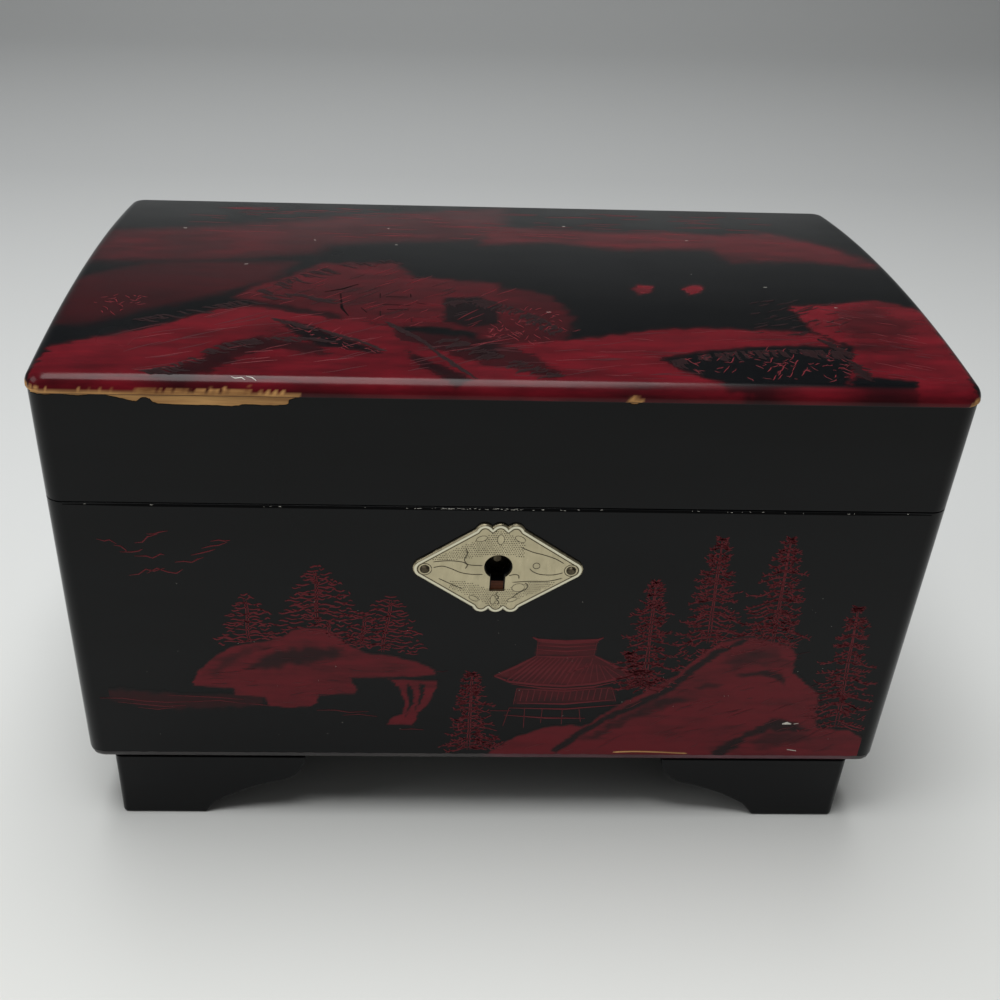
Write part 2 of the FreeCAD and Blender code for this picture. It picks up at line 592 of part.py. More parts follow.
# Wood screws and their seats
def screw_seat(piece, x, y, face, up, thickness):
    """A hole through a metal leaf or plate, with a wider seat for the screw's head at its face."""
    head = sketch(piece, "XY", face)
    circle(head, x, y, "screw_head_radius + hinge_clearance")
    grow(piece, head, "screw_head_height", "Pocket", up)
    shank = sketch(piece, "XY", face)
    circle(shank, x, y, "screw_radius + hinge_clearance")
    grow(piece, shank, thickness, "Pocket", up)


def pilot(piece, x, y, face, up):
    """The hole that a screw is driven into."""
    hole = sketch(piece, "XY", face)
    circle(hole, x, y, "screw_radius + hinge_clearance")
    grow(piece, hole, "screw_length + recess_clearance", "Pocket", up)


def wood_screw(label, x, y, face, up):
    """A screw with a countersunk head. Its head's face lies in the given face."""
    if up:
        head = rod(label + "_head", "Z", x, y, face, "screw_head_radius", "screw_head_height",
                   "screw_radius")
        low = face + " + screw_head_height / 2"
    else:
        head = rod(label + "_head", "Z", x, y, face + " - screw_head_height", "screw_radius",
                   "screw_head_height", "screw_head_radius")
        low = face + " - screw_length"
    shank = rod(label + "_shank", "Z", x, y, low, "screw_radius", "screw_length - screw_head_height / 2")
    return joined(label, [head, shank])


def brass_screws():
    """The screws of the lock and the hinges, in the case and in the lid."""
    for label, face, up, extra in (("case_screws", RIM, False, flange_screws()),
                                   ("lid_screws", LID_Z, True, strike_screws())):
        places = extra + [place for side, sign in SIDES for place in leaf_screws(sign)]
        group(label, [wood_screw("%s_%d" % (label[:-1], number), x, y, face, up)
                      for number, (x, y) in enumerate(places, 1)])


# The hinges
def leaf_screws(sign):
    """Places of the two screws in each leaf of a hinge."""
    y = "(%s - (leaf_depth + barrel_radius + knuckle_gap) / 2)" % HALF_D
    return [("%d * hinge_centre_x %s leaf_screw_spacing / 2" % (sign, way), y) for way in "-+"]


def hinge_leaf(label, sign, on_lid):
    """A leaf with its knuckles. The case leaf has three knuckles and the lid leaf two."""
    low = "(%d * hinge_centre_x - hinge_length / 2)" % sign
    pitch = "(hinge_length / %d)" % KNUCKLES
    z_low = LID_Z if on_lid else RIM + " - leaf_thickness"
    z_high = z_low + " + leaf_thickness"
    parts = [box(label + "_plate", low, low + " + hinge_length", HALF_D + " - leaf_depth",
                 HALF_D + " - barrel_radius - knuckle_gap", z_low, z_high)]
    for number in range(1 if on_lid else 0, KNUCKLES, 2):
        start = "%s + %d * %s + knuckle_gap / 2" % (low, number, pitch)
        length = "%s - knuckle_gap" % pitch
        parts.append(rod("%s_knuckle_%d" % (label, number), "X", start, HALF_D, HINGE_Z,
                         "barrel_radius", length))
        parts.append(box("%s_tongue_%d" % (label, number), start, "%s + %s" % (start, length),
                         HALF_D + " - barrel_radius - 2 * knuckle_gap", HALF_D, z_low, z_high))
    holes = [rod(label + "_bore", "X", low + " - cut_margin", HALF_D, HINGE_Z,
                 "hinge_pin_radius + hinge_clearance", "hinge_length + 2 * cut_margin")]
    head_z = z_low if on_lid else z_high + " - screw_head_height"
    for number, (x, y) in enumerate(leaf_screws(sign), 1):
        holes.append(rod("%s_seat_%d" % (label, number), "Z", x, y, head_z,
                         "screw_head_radius + hinge_clearance", "screw_head_height"))
        holes.append(rod("%s_hole_%d" % (label, number), "Z", x, y, z_low,
                         "screw_radius + hinge_clearance", "leaf_thickness"))
    cut(label, joined(label + "_solid", parts), joined(label + "_holes", holes))


def hinge_pins():
    pins = [rod("hinge_pin_" + side, "X", "%d * hinge_centre_x - hinge_length / 2" % sign, HALF_D,
                HINGE_Z, "hinge_pin_radius", "hinge_length") for side, sign in SIDES]
    group("hinge_pins", pins)


# The lid
def arch_height(y, extra="0"):
    """Height of the underside of the arched panel at a distance from the middle of the lid."""
    radius = "(%s + %s)" % (ARCH_RADIUS, extra)
    return "(%s + lid_arch_rise - %s + sqrt(%s * %s - (%s) * (%s)))" % (
        RAIL_TOP, ARCH_RADIUS, radius, radius, y, y)


def lid_rail(label, y_low, y_high, x_low, x_high):
    """A rail of the lid, with its top cut to the arch."""
    piece = body(label)
    section = sketch(piece, "YZ", x_low)
    corners = [(y_low, LID_Z), (y_high, LID_Z), (y_high, arch_height(y_high)),
               (y_low, arch_height(y_low))]
    outline(section, corners, {2: (ARCH_RADIUS, 1)})
    grow(piece, section, "(%s) - (%s)" % (x_high, x_low))
    return piece


def lid_rails():
    half_w, half_d = value(HALF_W), value(HALF_D)

    def corners(piece):
        dress(piece, "Fillet", "corner_radius",
              lambda edge, mid: upright(edge) and near(abs(mid.x), half_w) and near(abs(mid.y), half_d))

    front = lid_rail("lid_front_rail", "-" + HALF_D, "-" + LID_INNER_Y, "-" + HALF_W, HALF_W)
    corners(front)
    seat = sketch(front, "XY", LID_Z)
    rectangle(seat, "-strike_length / 2 - fit_clearance", "strike_length / 2 + fit_clearance",
              "-%s - lock_depth" % INNER_Y, "-%s" % LID_INNER_Y)
    grow(front, seat, "strike_thickness", "Pocket", True)
    for x, y in strike_screws():
        pilot(front, x, y, LID_Z, True)
    back = lid_rail("lid_back_rail", LID_INNER_Y, HALF_D, "-" + HALF_W, HALF_W)
    corners(back)
    hinge_recesses(back, RIM, LID_Z + " + leaf_thickness")
    for side, sign in SIDES:
        for x, y in leaf_screws(sign):
            pilot(back, x, y, LID_Z, True)
    lid_rail("lid_left_rail", "-" + LID_INNER_Y, LID_INNER_Y, "-" + HALF_W, "-" + LID_INNER_X)
    lid_rail("lid_right_rail", "-" + LID_INNER_Y, LID_INNER_Y, LID_INNER_X, HALF_W)


def lid_top_panel():
    """The arched board on top of the rails, a little wider than they are and rounded all round."""
    piece = body("lid_top_panel")
    edge_x = "(case_width / 2 + lid_overhang)"
    edge_y = "(case_depth / 2 + lid_overhang)"
    thick = "lid_panel_thickness"
    section = sketch(piece, "YZ", "-" + edge_x)
    corners = [("-" + edge_y, arch_height(edge_y)), (edge_y, arch_height(edge_y)),
               (edge_y, arch_height(edge_y, thick)), ("-" + edge_y, arch_height(edge_y, thick))]
    outline(section, corners, {0: (ARCH_RADIUS, -1), 2: ("(%s + %s)" % (ARCH_RADIUS, thick), 1)})
    grow(piece, section, "2 * " + edge_x)
    half_w, half_d = value(edge_x), value(edge_y)
    dress(piece, "Fillet", "corner_radius",
          lambda edge, mid: upright(edge) and near(abs(mid.x), half_w) and near(abs(mid.y), half_d))

    def upper_rim(edge, mid):
        outside = max(abs(mid.x) - half_w, abs(mid.y) - half_d) > -value("corner_radius")
        height = value(arch_height("%.6f" % min(abs(mid.y), half_d), thick))
        return outside and not upright(edge) and abs(mid.z - height) < 0.05

    dress(piece, "Fillet", "lid_edge_radius", upper_rim)


def lid_inside():
    """The backing board in the lid, with the mirror and its frame, and the block that presses the rod."""
    box("lid_backing_board", "-" + LID_INNER_X, LID_INNER_X, "-" + LID_INNER_Y, LID_INNER_Y,
        BACKING_Z, BACKING_Z + " + backing_thickness")
    box("mirror", "-mirror_width / 2", "mirror_width / 2", "-mirror_depth / 2", "mirror_depth / 2",
        BACKING_Z + " - mirror_thickness", BACKING_Z)
    piece = body("mirror_frame")
    low = "%s - mirror_thickness - frame_lip_thickness" % BACKING_Z
    outer_x, outer_y = "(mirror_width / 2 + frame_width)", "(mirror_depth / 2 + frame_width)"
    plan = sketch(piece, "XY", low)
    rectangle(plan, "-" + outer_x, outer_x, "-" + outer_y, outer_y)
    rectangle(plan, "-mirror_width / 2 + frame_lip", "mirror_width / 2 - frame_lip",
              "-mirror_depth / 2 + frame_lip", "mirror_depth / 2 - frame_lip")
    grow(piece, plan, "mirror_thickness + frame_lip_thickness")
    rabbet = sketch(piece, "XY", "%s - mirror_thickness" % BACKING_Z)
    rectangle(rabbet, "-mirror_width / 2 - fit_clearance", "mirror_width / 2 + fit_clearance",
              "-mirror_depth / 2 - fit_clearance", "mirror_depth / 2 + fit_clearance")
    grow(piece, rabbet, "mirror_thickness", "Pocket", True)
    bottom, half_x, half_y = value(low), value(outer_x), value(outer_y)
    dress(piece, "Chamfer", "frame_chamfer", lambda edge, mid: near(mid.z, bottom) and (
        near(abs(mid.x), half_x) or near(abs(mid.y), half_y)))
    box("lid_pusher", "stop_x - pusher_half_width", LID_INNER_X, "stop_y - pusher_half_width",
        "stop_y + pusher_half_width", PUSHER_Z, BACKING_Z)


# Lining and fittings
def lining():
    top = "(%s - lining_drop)" % RIM
    box("lining_front", "-" + INNER_X, INNER_X, "-" + INNER_Y, "-" + LINED_Y, FLOOR, top)
    box("lining_back", "-" + INNER_X, INNER_X, LINED_Y, INNER_Y, FLOOR, top)
    box("lining_left", "-" + INNER_X, "-" + LINED_X, "-" + LINED_Y, LINED_Y, FLOOR, top)
    box("lining_right", LINED_X, INNER_X, "-" + LINED_Y, LINED_Y, FLOOR, top)
    box("lining_floor", "-" + LINED_X, "well_right_x", "-" + LINED_Y, LINED_Y, FLOOR,
        FLOOR + " + floor_lining_thickness")


ROLLS = 4


WELL_X = "(well_right_x + partition_thickness)"


def partitions():
    top = "(%s - partition_drop)" % RIM
    box("long_partition", "well_right_x", WELL_X, "-" + LINED_Y, LINED_Y, FLOOR, top)
    box("short_partition", WELL_X, LINED_X, "movement_front_y - partition_thickness",
        "movement_front_y", FLOOR, top)
    base_top = "(%s - roll_base_drop)" % RIM
    front_y = "(movement_front_y - partition_thickness)"
    box("ring_roll_base", WELL_X, LINED_X, "-" + LINED_Y, front_y, base_top + " - roll_base_thickness",
        base_top)
    pitch = "((%s + %s) / %d)" % (front_y, LINED_Y, ROLLS)
    for number in range(ROLLS):
        low_y = "(-%s + %d * %s + roll_gap / 2)" % (LINED_Y, number, pitch)
        high_y = "(-%s + %d * %s - roll_gap / 2)" % (LINED_Y, number + 1, pitch)
        ring_roll("ring_roll_%d" % (number + 1), low_y, high_y, base_top + " + soft_clearance")


def ring_roll(label, low_y, high_y, base):
    """A padded roll with a flat back and a round top."""
    piece = body(label)
    section = sketch(piece, "YZ", WELL_X + " + roll_gap")
    half = "((%s - %s) / 2)" % (high_y, low_y)
    shoulder = "%s + roll_height - %s" % (base, half)
    top = "%s + roll_height" % base
    middle = "((%s + %s) / 2)" % (high_y, low_y)
    outline(section, [(low_y, base), (high_y, base), (high_y, shoulder), (middle, top), (low_y, shoulder)],
            {2: (half, 1), 3: (half, 1)})
    grow(piece, section, "%s - (%s) - 2 * roll_gap" % (LINED_X, WELL_X))


def glass():
    low = "glass_z"
    sheet_box = box("glass_sheet", WELL_X + " + glass_clearance", LINED_X + " - glass_clearance",
                    "movement_front_y + glass_clearance", LINED_Y + " - glass_clearance", low,
                    low + " + glass_thickness")
    hole = rod("glass_hole", "Z", "stop_x", "stop_y", low + " - cut_margin", "glass_hole_radius",
               "glass_thickness + 2 * cut_margin")
    cut("glass_cover", sheet_box, hole)
    front = box("glass_cleat_front", WELL_X, LINED_X, "movement_front_y",
                "movement_front_y + cleat_size", low + " - cleat_size", low)
    back = box("glass_cleat_back", WELL_X, LINED_X, LINED_Y + " - cleat_size", LINED_Y,
               low + " - cleat_size", low)
    group("glass_cleats", [front, back])


# The musical movement
BED_Z = "(foot_height + bottom_thickness + bed_boss_height)"
BED_TOP = "(foot_height + bottom_thickness + bed_boss_height + bed_thickness)"
CROWN_Z = BED_TOP + " + housing_height + end_play"
PITCH_Z = "(%s + crown_disc_thickness + crown_tooth_drop)" % CROWN_Z
CROWN_R = "(crown_module * crown_teeth / 2)"
CYL_Z = "(%s + crown_module * cylinder_pinion_teeth / 2)" % PITCH_Z
MESH_X = "(winding_x + %s)" % CROWN_R
LEFT_BRACKET_X = "(%s + crown_face_width / 2 + bracket_gap)" % MESH_X
CYL_X = "(%s + bracket_thickness + cylinder_gap)" % LEFT_BRACKET_X
CYL_END = "(%s + cylinder_length)" % CYL_X
GEAR_X = "(%s + end_play)" % CYL_END
RIGHT_BRACKET_X = "(%s + gear_thickness + bracket_gap)" % GEAR_X
WHEEL_X = "(%s + bracket_thickness + worm_wheel_gap)" % RIGHT_BRACKET_X
OUTER_PLATE_X = "(%s + gear_thickness + worm_wheel_gap)" % WHEEL_X
PINION_REACH = "(train_module * (cylinder_gear_teeth + governor_pinion_teeth) / 2 + mesh_clearance)"
GOV_Y = "(winding_y + %s)" % PINION_REACH
FAN_X = "(%s + gear_thickness / 2)" % WHEEL_X
FAN_Y = "(%s + train_module * worm_wheel_teeth / 2 + worm_offset)" % GOV_Y
BED_LOW_X = "(winding_x - housing_radius - bed_margin)"
BED_HIGH_X = "(%s + bracket_thickness + bed_end_margin)" % OUTER_PLATE_X
COMB_TIP_Y = "(winding_y - cylinder_radius - cylinder_pin_height - comb_tip_gap)"
COMB_BACK_Y = "(%s - comb_tooth_length - comb_base_depth)" % COMB_TIP_Y
BED_LOW_Y = "(%s - bed_margin)" % COMB_BACK_Y
COLUMN_Y = "(%s + fan_radius + fan_clearance)" % FAN_Y
BED_HIGH_Y = "(%s + column_depth + bed_margin)" % COLUMN_Y
COMB_LOW_Z = "(%s - comb_thickness / 2)" % CYL_Z
FAN_LOW_Z = "(%s + fan_rise)" % CYL_Z
LOWER_ARM_Z = "(%s + lower_arm_rise)" % BED_TOP
UPPER_ARM_Z = "(%s + upper_arm_rise)" % CYL_Z


def bed_corners():
    low_x, high_x = "%s + bed_boss_inset" % BED_LOW_X, "%s - bed_boss_inset" % BED_HIGH_X
    low_y, high_y = "%s + bed_boss_inset" % BED_LOW_Y, "%s - bed_boss_inset" % BED_HIGH_Y
    return [(low_x, low_y), (high_x, low_y), (low_x, high_y), (high_x, high_y)]


def comb_screw_places():
    middle = "(%s + cylinder_length / 2)" % CYL_X
    y = "%s + comb_screw_setback" % COMB_BACK_Y
    return [(middle + " - comb_screw_spacing / 2", y), (middle + " + comb_screw_spacing / 2", y)]


def movement_bedplate():
    """The cast plate on four bosses, with the block that carries the comb."""
    piece = body("movement_bedplate")
    plan = sketch(piece, "XY", BED_Z)
    rectangle(plan, BED_LOW_X, BED_HIGH_X, BED_LOW_Y, BED_HIGH_Y)
    grow(piece, plan, "bed_thickness")
    dress(piece, "Fillet", "bed_corner_radius", lambda edge, mid: upright(edge))
    for x, y in bed_corners():
        boss = sketch(piece, "XY", FLOOR)
        circle(boss, x, y, "bed_boss_radius")
        grow(piece, boss, "bed_boss_height + bed_thickness / 2")
    block = sketch(piece, "XY", BED_Z + " + bed_thickness / 2")
    rectangle(block, CYL_X, CYL_END, COMB_BACK_Y, COMB_BACK_Y + " + comb_base_depth")
    grow(piece, block, "%s - (%s + bed_thickness / 2)" % (COMB_LOW_Z, BED_Z))
    bore = sketch(piece, "XY", BED_Z)
    circle(bore, "winding_x", "winding_y", "arbor_radius + running_clearance")
    grow(piece, bore, "bed_thickness", "Pocket", True)
    for x, y in bed_corners():
        hole = sketch(piece, "XY", FLOOR)
        circle(hole, x, y, "machine_screw_radius + hinge_clearance")
        grow(piece, hole, "bed_hole_depth", "Pocket", True)
    for x, y in comb_screw_places():
        hole = sketch(piece, "XY", COMB_LOW_Z)
        circle(hole, x, y, "machine_screw_radius + hinge_clearance")
        grow(piece, hole, "comb_screw_length", "Pocket")


def comb():
    """The steel comb: teeth of one width whose slots run deeper towards the bass end."""
    piece = body("comb")
    start = "(%s + (cylinder_length - comb_teeth * comb_pitch) / 2)" % CYL_X
    end = "(%s + comb_teeth * comb_pitch)" % start
    root = "(%s + comb_base_depth)" % COMB_BACK_Y
    plan = sketch(piece, "XY", COMB_LOW_Z)
    outline(plan, [(start, COMB_BACK_Y), (end, COMB_BACK_Y), (end, root + " + comb_slant"), (start, root)])
    grow(piece, plan, "comb_thickness")
    tooth = sketch(piece, "XY", COMB_LOW_Z)
    margin = "(comb_pitch - comb_tooth_width) / 2"
    rectangle(tooth, "%s + %s" % (start, margin), "%s + comb_pitch - %s" % (start, margin),
              root + " - comb_pitch", COMB_TIP_Y)
    first = grow(piece, tooth, "comb_thickness")
    row = piece.newObject("PartDesign::LinearPattern", "comb_row")
    row.Originals = [first]
    row.Direction = (plan, ["H_Axis"])
    bind(row, "Length", "comb_pitch * (comb_teeth - 1)")
    bind(row, "Occurrences", "comb_teeth")
    piece.Tip = row
    doc.recompute()
    for x, y in comb_screw_places():
        hole = sketch(piece, "XY", COMB_LOW_Z)
        circle(hole, x, y, "machine_screw_radius + hinge_clearance")
        grow(piece, hole, "comb_thickness", "Pocket", True)


def movement_screws():
    """Two screws in the comb and four that hold the bedplate from under the case."""
    screws = []
    top = "(%s + comb_thickness)" % COMB_LOW_Z
    for number, (x, y) in enumerate(comb_screw_places(), 1):
        shank = rod("comb_shank_%d" % number, "Z", x, y, top + " - comb_screw_length",
                    "machine_screw_radius", "comb_screw_length + machine_head_height / 2")
        head = rod("comb_head_%d" % number, "Z", x, y, top, "machine_head_radius", "machine_head_height")
        screws.append(joined("comb_screw_%d" % number, [shank, head]))
    low = "(foot_height + recess_clearance)"
    for number, (x, y) in enumerate(bed_corners(), 1):
        head = rod("bed_head_%d" % number, "Z", x, y, low, "machine_head_radius", "machine_head_height")
        shank = rod("bed_shank_%d" % number, "Z", x, y, low + " + machine_head_height / 2",
                    "machine_screw_radius", "bed_screw_length - machine_head_height / 2")
        screws.append(joined("bed_screw_%d" % number, [head, shank]))
    group("movement_screws", screws)


def spring_housing():
    """The drum that holds the mainspring round the winding arbor."""
    drum = rod("housing_drum", "Z", "winding_x", "winding_y", BED_TOP, "housing_radius", "housing_height")
    room = rod("housing_room", "Z", "winding_x", "winding_y", BED_TOP + " + housing_wall",
               "housing_radius - housing_wall", "housing_height - 2 * housing_wall")
    bore = rod("housing_bore", "Z", "winding_x", "winding_y", BED_TOP + " - cut_margin",
               "arbor_radius + running_clearance", "housing_height + 2 * cut_margin")
    cut("spring_housing", drum, joined("housing_inside", [room, bore]))


def winding():
    """The arbor through the bottom of the case and the wing key under it."""
    low, top = "key_floor_gap", "(key_floor_gap + key_height)"
    socket_z = "(%s - key_socket_depth)" % top
    rod("winding_arbor", "Z", "winding_x", "winding_y", socket_z, "arbor_radius",
        "%s + crown_disc_thickness + arbor_end - %s" % (CROWN_Z, socket_z))
    piece = body("winding_key")
    wing = sketch(piece, "XZ", "-winding_y - key_thickness / 2")
    left, right = "(winding_x - key_width / 2)", "(winding_x + key_width / 2)"
    corner = "key_corner_radius"
    outline(wing, [(left + " + " + corner, low), (right + " - " + corner, low),
                   (right, low + " + " + corner), (right, top + " - " + corner),
                   (right + " - " + corner, top), (left + " + " + corner, top),
                   (left, top + " - " + corner), (left, low + " + " + corner)],
            {1: (corner, 1), 3: (corner, 1), 5: (corner, 1), 7: (corner, 1)})
    grow(piece, wing, "key_thickness")
    hub = sketch(piece, "XY", top + " - key_hub_lap")
    circle(hub, "winding_x", "winding_y", "key_hub_radius")
    grow(piece, hub, "foot_height - key_board_gap - (%s - key_hub_lap)" % top)
    socket = sketch(piece, "XY", socket_z)
    circle(socket, "winding_x", "winding_y", "arbor_radius + press_clearance")
    grow(piece, socket, "foot_height", "Pocket", True)


PRESSURE_ANGLE = math.radians(20)
FLANK_STEPS = 3


def involute(teeth, module):
    """Corners of a spur gear with involute flanks, the first tooth centred on +X. Its teeth fill a
    little under half of the pitch, for running room."""
    pitch_r = module * teeth / 2
    base_r = pitch_r * math.cos(PRESSURE_ANGLE)
    tip_r = pitch_r + module * value("tooth_addendum")
    root_r = pitch_r - module * value("tooth_dedendum")

    def turn(radius):
        if radius <= base_r:
            return 0.0
        angle = math.acos(base_r / radius)
        return math.tan(angle) - angle

    half = math.pi / teeth * value("tooth_share")
    start_r = max(root_r, base_r)
    flank = [start_r + (tip_r - start_r) * step / FLANK_STEPS for step in range(FLANK_STEPS + 1)]
    if root_r < base_r:
        flank.insert(0, root_r)
    places = [(radius, half + turn(pitch_r) - turn(radius)) for radius in flank]
    corners = []
    for number in range(teeth):
        middle = 2 * math.pi * number / teeth
        for radius, angle in [(r, -a) for r, a in places] + [(r, a) for r, a in reversed(places)]:
            corners.append(V(radius * math.cos(middle + angle), radius * math.sin(middle + angle), 0))
    return corners


def gear(teeth_name, module_name, thickness, start=0.0, turned=0.0):
    """A spur gear on +Z that starts at a height. turned is in teeth."""
    teeth = int(value(teeth_name))
    corners = involute(teeth, value(module_name))
    solid = Part.Face(Part.makePolygon(corners + corners[:1])).extrude(V(0, 0, value(thickness)))
    solid.rotate(V(), V(0, 0, 1), 360.0 / teeth * turned)
    solid.translate(V(0, 0, start))
    return solid


def along_x(x, y, z):
    """The placement that turns a gear made on +Z to the X axis, its first tooth towards +Y."""
    turn = FreeCAD.Rotation(V(0, 1, 0), V(0, 0, 1), V(1, 0, 0), "ZXY")
    return FreeCAD.Placement(V(value(x), value(y), value(z)), turn)


def spring_gear():
    """The crown gear over the housing. Its straight-sided teeth stand up from the disc."""
    module, teeth = value("crown_module"), int(value("crown_teeth"))
    radius, face_width = value(CROWN_R), value("crown_face_width")
    low, thickness, pitch_z = value(CROWN_Z), value("crown_disc_thickness"), value(PITCH_Z)
    foot_z, tip_z = low + thickness / 2, pitch_z + value("crown_tooth_rise")
    disc = Part.makeCylinder(radius + face_width / 2, thickness, V(0, 0, low))
    bore = Part.makeCylinder(value("arbor_radius + running_clearance"), thickness, V(0, 0, low))
    slope = math.tan(PRESSURE_ANGLE)
    half = math.pi * module * value("tooth_share") / 2
    foot_half, tip_half = half + (pitch_z - foot_z) * slope, half - (tip_z - pitch_z) * slope
    inner = radius - face_width / 2
    profile = [V(inner, -foot_half, foot_z), V(inner, foot_half, foot_z),
               V(inner, tip_half, tip_z), V(inner, -tip_half, tip_z)]
    face = Part.Face(Part.makePolygon(profile + profile[:1]))
    tooth = face.extrude(V(value("crown_tooth_length"), 0, 0))
    ring = []
    for number in range(teeth):
        copy = tooth.copy()
        copy.rotate(V(), V(0, 0, 1), 360.0 * number / teeth)
        ring.append(copy)
    place = V(value("winding_x"), value("winding_y"), 0)
    shaped("spring_gear", disc.multiFuse(ring).cut(bore), FreeCAD.Placement(place, FreeCAD.Rotation()))


def cylinder_train():
    """The arbor with its pinion and its wheel, and the cylinder on it."""
    start = "(%s - crown_face_width / 2 - pinion_overlap)" % MESH_X
    end = "(%s + bracket_thickness + arbor_overrun)" % RIGHT_BRACKET_X
    stub, radius = value("arbor_stub"), value("cylinder_arbor_radius")
    arbor = Part.makeCylinder(radius, value("%s - %s" % (end, start)) + stub, V(0, 0, -stub))
    pinion = gear("cylinder_pinion_teeth", "crown_module", "crown_face_width + 2 * pinion_overlap",
                  turned=0.5)
    wheel = gear("cylinder_gear_teeth", "train_module", "gear_thickness",
                 start=value("%s - %s" % (GEAR_X, start)))
    shaped("cylinder_arbor", arbor.multiFuse([pinion, wheel]), along_x(start, "winding_y", CYL_Z))
    drum = rod("cylinder_drum", "X", CYL_X, "winding_y", CYL_Z, "cylinder_radius", "cylinder_length")
    bore = rod("cylinder_bore", "X", CYL_X + " - cut_margin", "winding_y", CYL_Z,
               "cylinder_arbor_radius + press_clearance", "cylinder_length + 2 * cut_margin")
    cut("cylinder", drum, bore)


def bracket(label, x, foot_low_x, y_high, holes):
    """An upright plate with a bent foot on the bed and running bores."""
    y_low, top = "winding_y - bracket_half_width", CYL_Z + " + bracket_rise"
    plate = box(label + "_plate", x, x + " + bracket_thickness", y_low, y_high, BED_TOP, top)
    foot_plate = box(label + "_foot", foot_low_x, foot_low_x + " + bracket_foot_length", y_low,
                     "winding_y + bracket_half_width", BED_TOP, BED_TOP + " + bracket_thickness")
    bores = [rod("%s_bore_%d" % (label, number), "X", x + " - cut_margin", y, CYL_Z, radius,
                 "bracket_thickness + 2 * cut_margin") for number, (y, radius) in enumerate(holes, 1)]
    tool = bores[0] if len(bores) == 1 else joined(label + "_bores", bores)
    return cut(label, joined(label + "_solid", [plate, foot_plate]), tool)


def cylinder_brackets():
    """The two plates that carry the cylinder. The right one also carries the governor's arbor."""
    main = ("winding_y", "cylinder_arbor_radius + running_clearance")
    small = (GOV_Y, "small_arbor_radius + running_clearance")
    left = bracket("cylinder_bracket_left", LEFT_BRACKET_X, LEFT_BRACKET_X,
                   "winding_y + bracket_half_width", [main])
    right = bracket("cylinder_bracket_right", RIGHT_BRACKET_X,
                    RIGHT_BRACKET_X + " + bracket_thickness - bracket_foot_length",
                    GOV_Y + " + bearing_plate_reach", [main, small])
    group("cylinder_brackets", [left, right])


def governor():
    """The speed governor: a worm wheel on a short arbor, the fan on its spindle, and their bracket."""
    length = value("%s + bracket_thickness + governor_overrun - %s" % (OUTER_PLATE_X, GEAR_X))
    arbor = Part.makeCylinder(value("small_arbor_radius"), length)
    pinion = gear("governor_pinion_teeth", "train_module", "gear_thickness", turned=0.5)
    wheel = gear("worm_wheel_teeth", "train_module", "gear_thickness",
                 start=value("%s - %s" % (WHEEL_X, GEAR_X)))
    shaped("governor_wheel", arbor.multiFuse([pinion, wheel]), along_x(GEAR_X, GOV_Y, CYL_Z))

    spindle = rod("fan_spindle", "Z", FAN_X, FAN_Y, LOWER_ARM_Z, "worm_root_radius",
                  "%s + arm_thickness - %s" % (UPPER_ARM_Z, LOWER_ARM_Z))
    hub = rod("fan_hub", "Z", FAN_X, FAN_Y, FAN_LOW_Z, "fan_hub_radius", "fan_height")
    blades = box("fan_blades", FAN_X + " - fan_radius", FAN_X + " + fan_radius",
                 FAN_Y + " - blade_thickness / 2", FAN_Y + " + blade_thickness / 2", FAN_LOW_Z,
                 FAN_LOW_Z + " + fan_height")
    joined("governor_fan", [spindle, hub, blades])

    low_x, high_x = "(%s - column_reach)" % FAN_X, "(%s + bracket_thickness)" % OUTER_PLATE_X
    arm_y, root_y = FAN_Y + " - arm_reach", COLUMN_Y + " + column_depth / 2"
    column = box("governor_column", low_x, high_x, COLUMN_Y, COLUMN_Y + " + column_depth", BED_TOP,
                 UPPER_ARM_Z + " + arm_thickness")
    upper = box("governor_upper_arm", low_x, high_x, arm_y, root_y, UPPER_ARM_Z,
                UPPER_ARM_Z + " + arm_thickness")
    lower = box("governor_lower_arm", low_x, high_x, arm_y, root_y, LOWER_ARM_Z,
                LOWER_ARM_Z + " + arm_thickness")
    plate = box("governor_plate", OUTER_PLATE_X, high_x, GOV_Y + " - bearing_plate_reach", root_y,
                CYL_Z + " - bearing_plate_drop", CYL_Z + " + bracket_rise")
    spindle_bore = rod("governor_spindle_bore", "Z", FAN_X, FAN_Y, BED_TOP,
                       "worm_root_radius + running_clearance",
                       "%s + arm_thickness + cut_margin - %s" % (UPPER_ARM_Z, BED_TOP))
    wheel_bore = rod("governor_wheel_bore", "X", OUTER_PLATE_X + " - cut_margin", GOV_Y, CYL_Z,
                     "small_arbor_radius + running_clearance", "bracket_thickness + 2 * cut_margin")
    cut("governor_bracket", joined("governor_frame", [column, upper, lower, plate]),
        joined("governor_bores", [spindle_bore, wheel_bore]))


# The stop rod
GUIDE_Z = "(glass_z + glass_thickness + guide_rise)"
COLLAR_Z = "(%s + guide_end + collar_rise)" % GUIDE_Z


def stop_rod():
    """The rod under the lid, with a collar over its spring and an arm beside the fan."""
    arm_z = "(%s + stop_arm_rise)" % FAN_LOW_Z
    arm_x = "(%s + fan_radius + stop_arm_gap)" % FAN_X
    stem = rod("stop_stem", "Z", "stop_x", "stop_y", arm_z + " - stop_arm_radius", "stop_rod_radius",
               "%s - stop_rod_gap - (%s - stop_arm_radius)" % (PUSHER_Z, arm_z))
    collar = rod("stop_collar", "Z", "stop_x", "stop_y", COLLAR_Z,
                 "guide_radius - guide_wall - collar_clearance", "collar_thickness")
    arm = rod("stop_arm", "X", arm_x, "stop_y", arm_z, "stop_arm_radius", "stop_x - " + arm_x)
    joined("stop_rod", [stem, collar, arm])


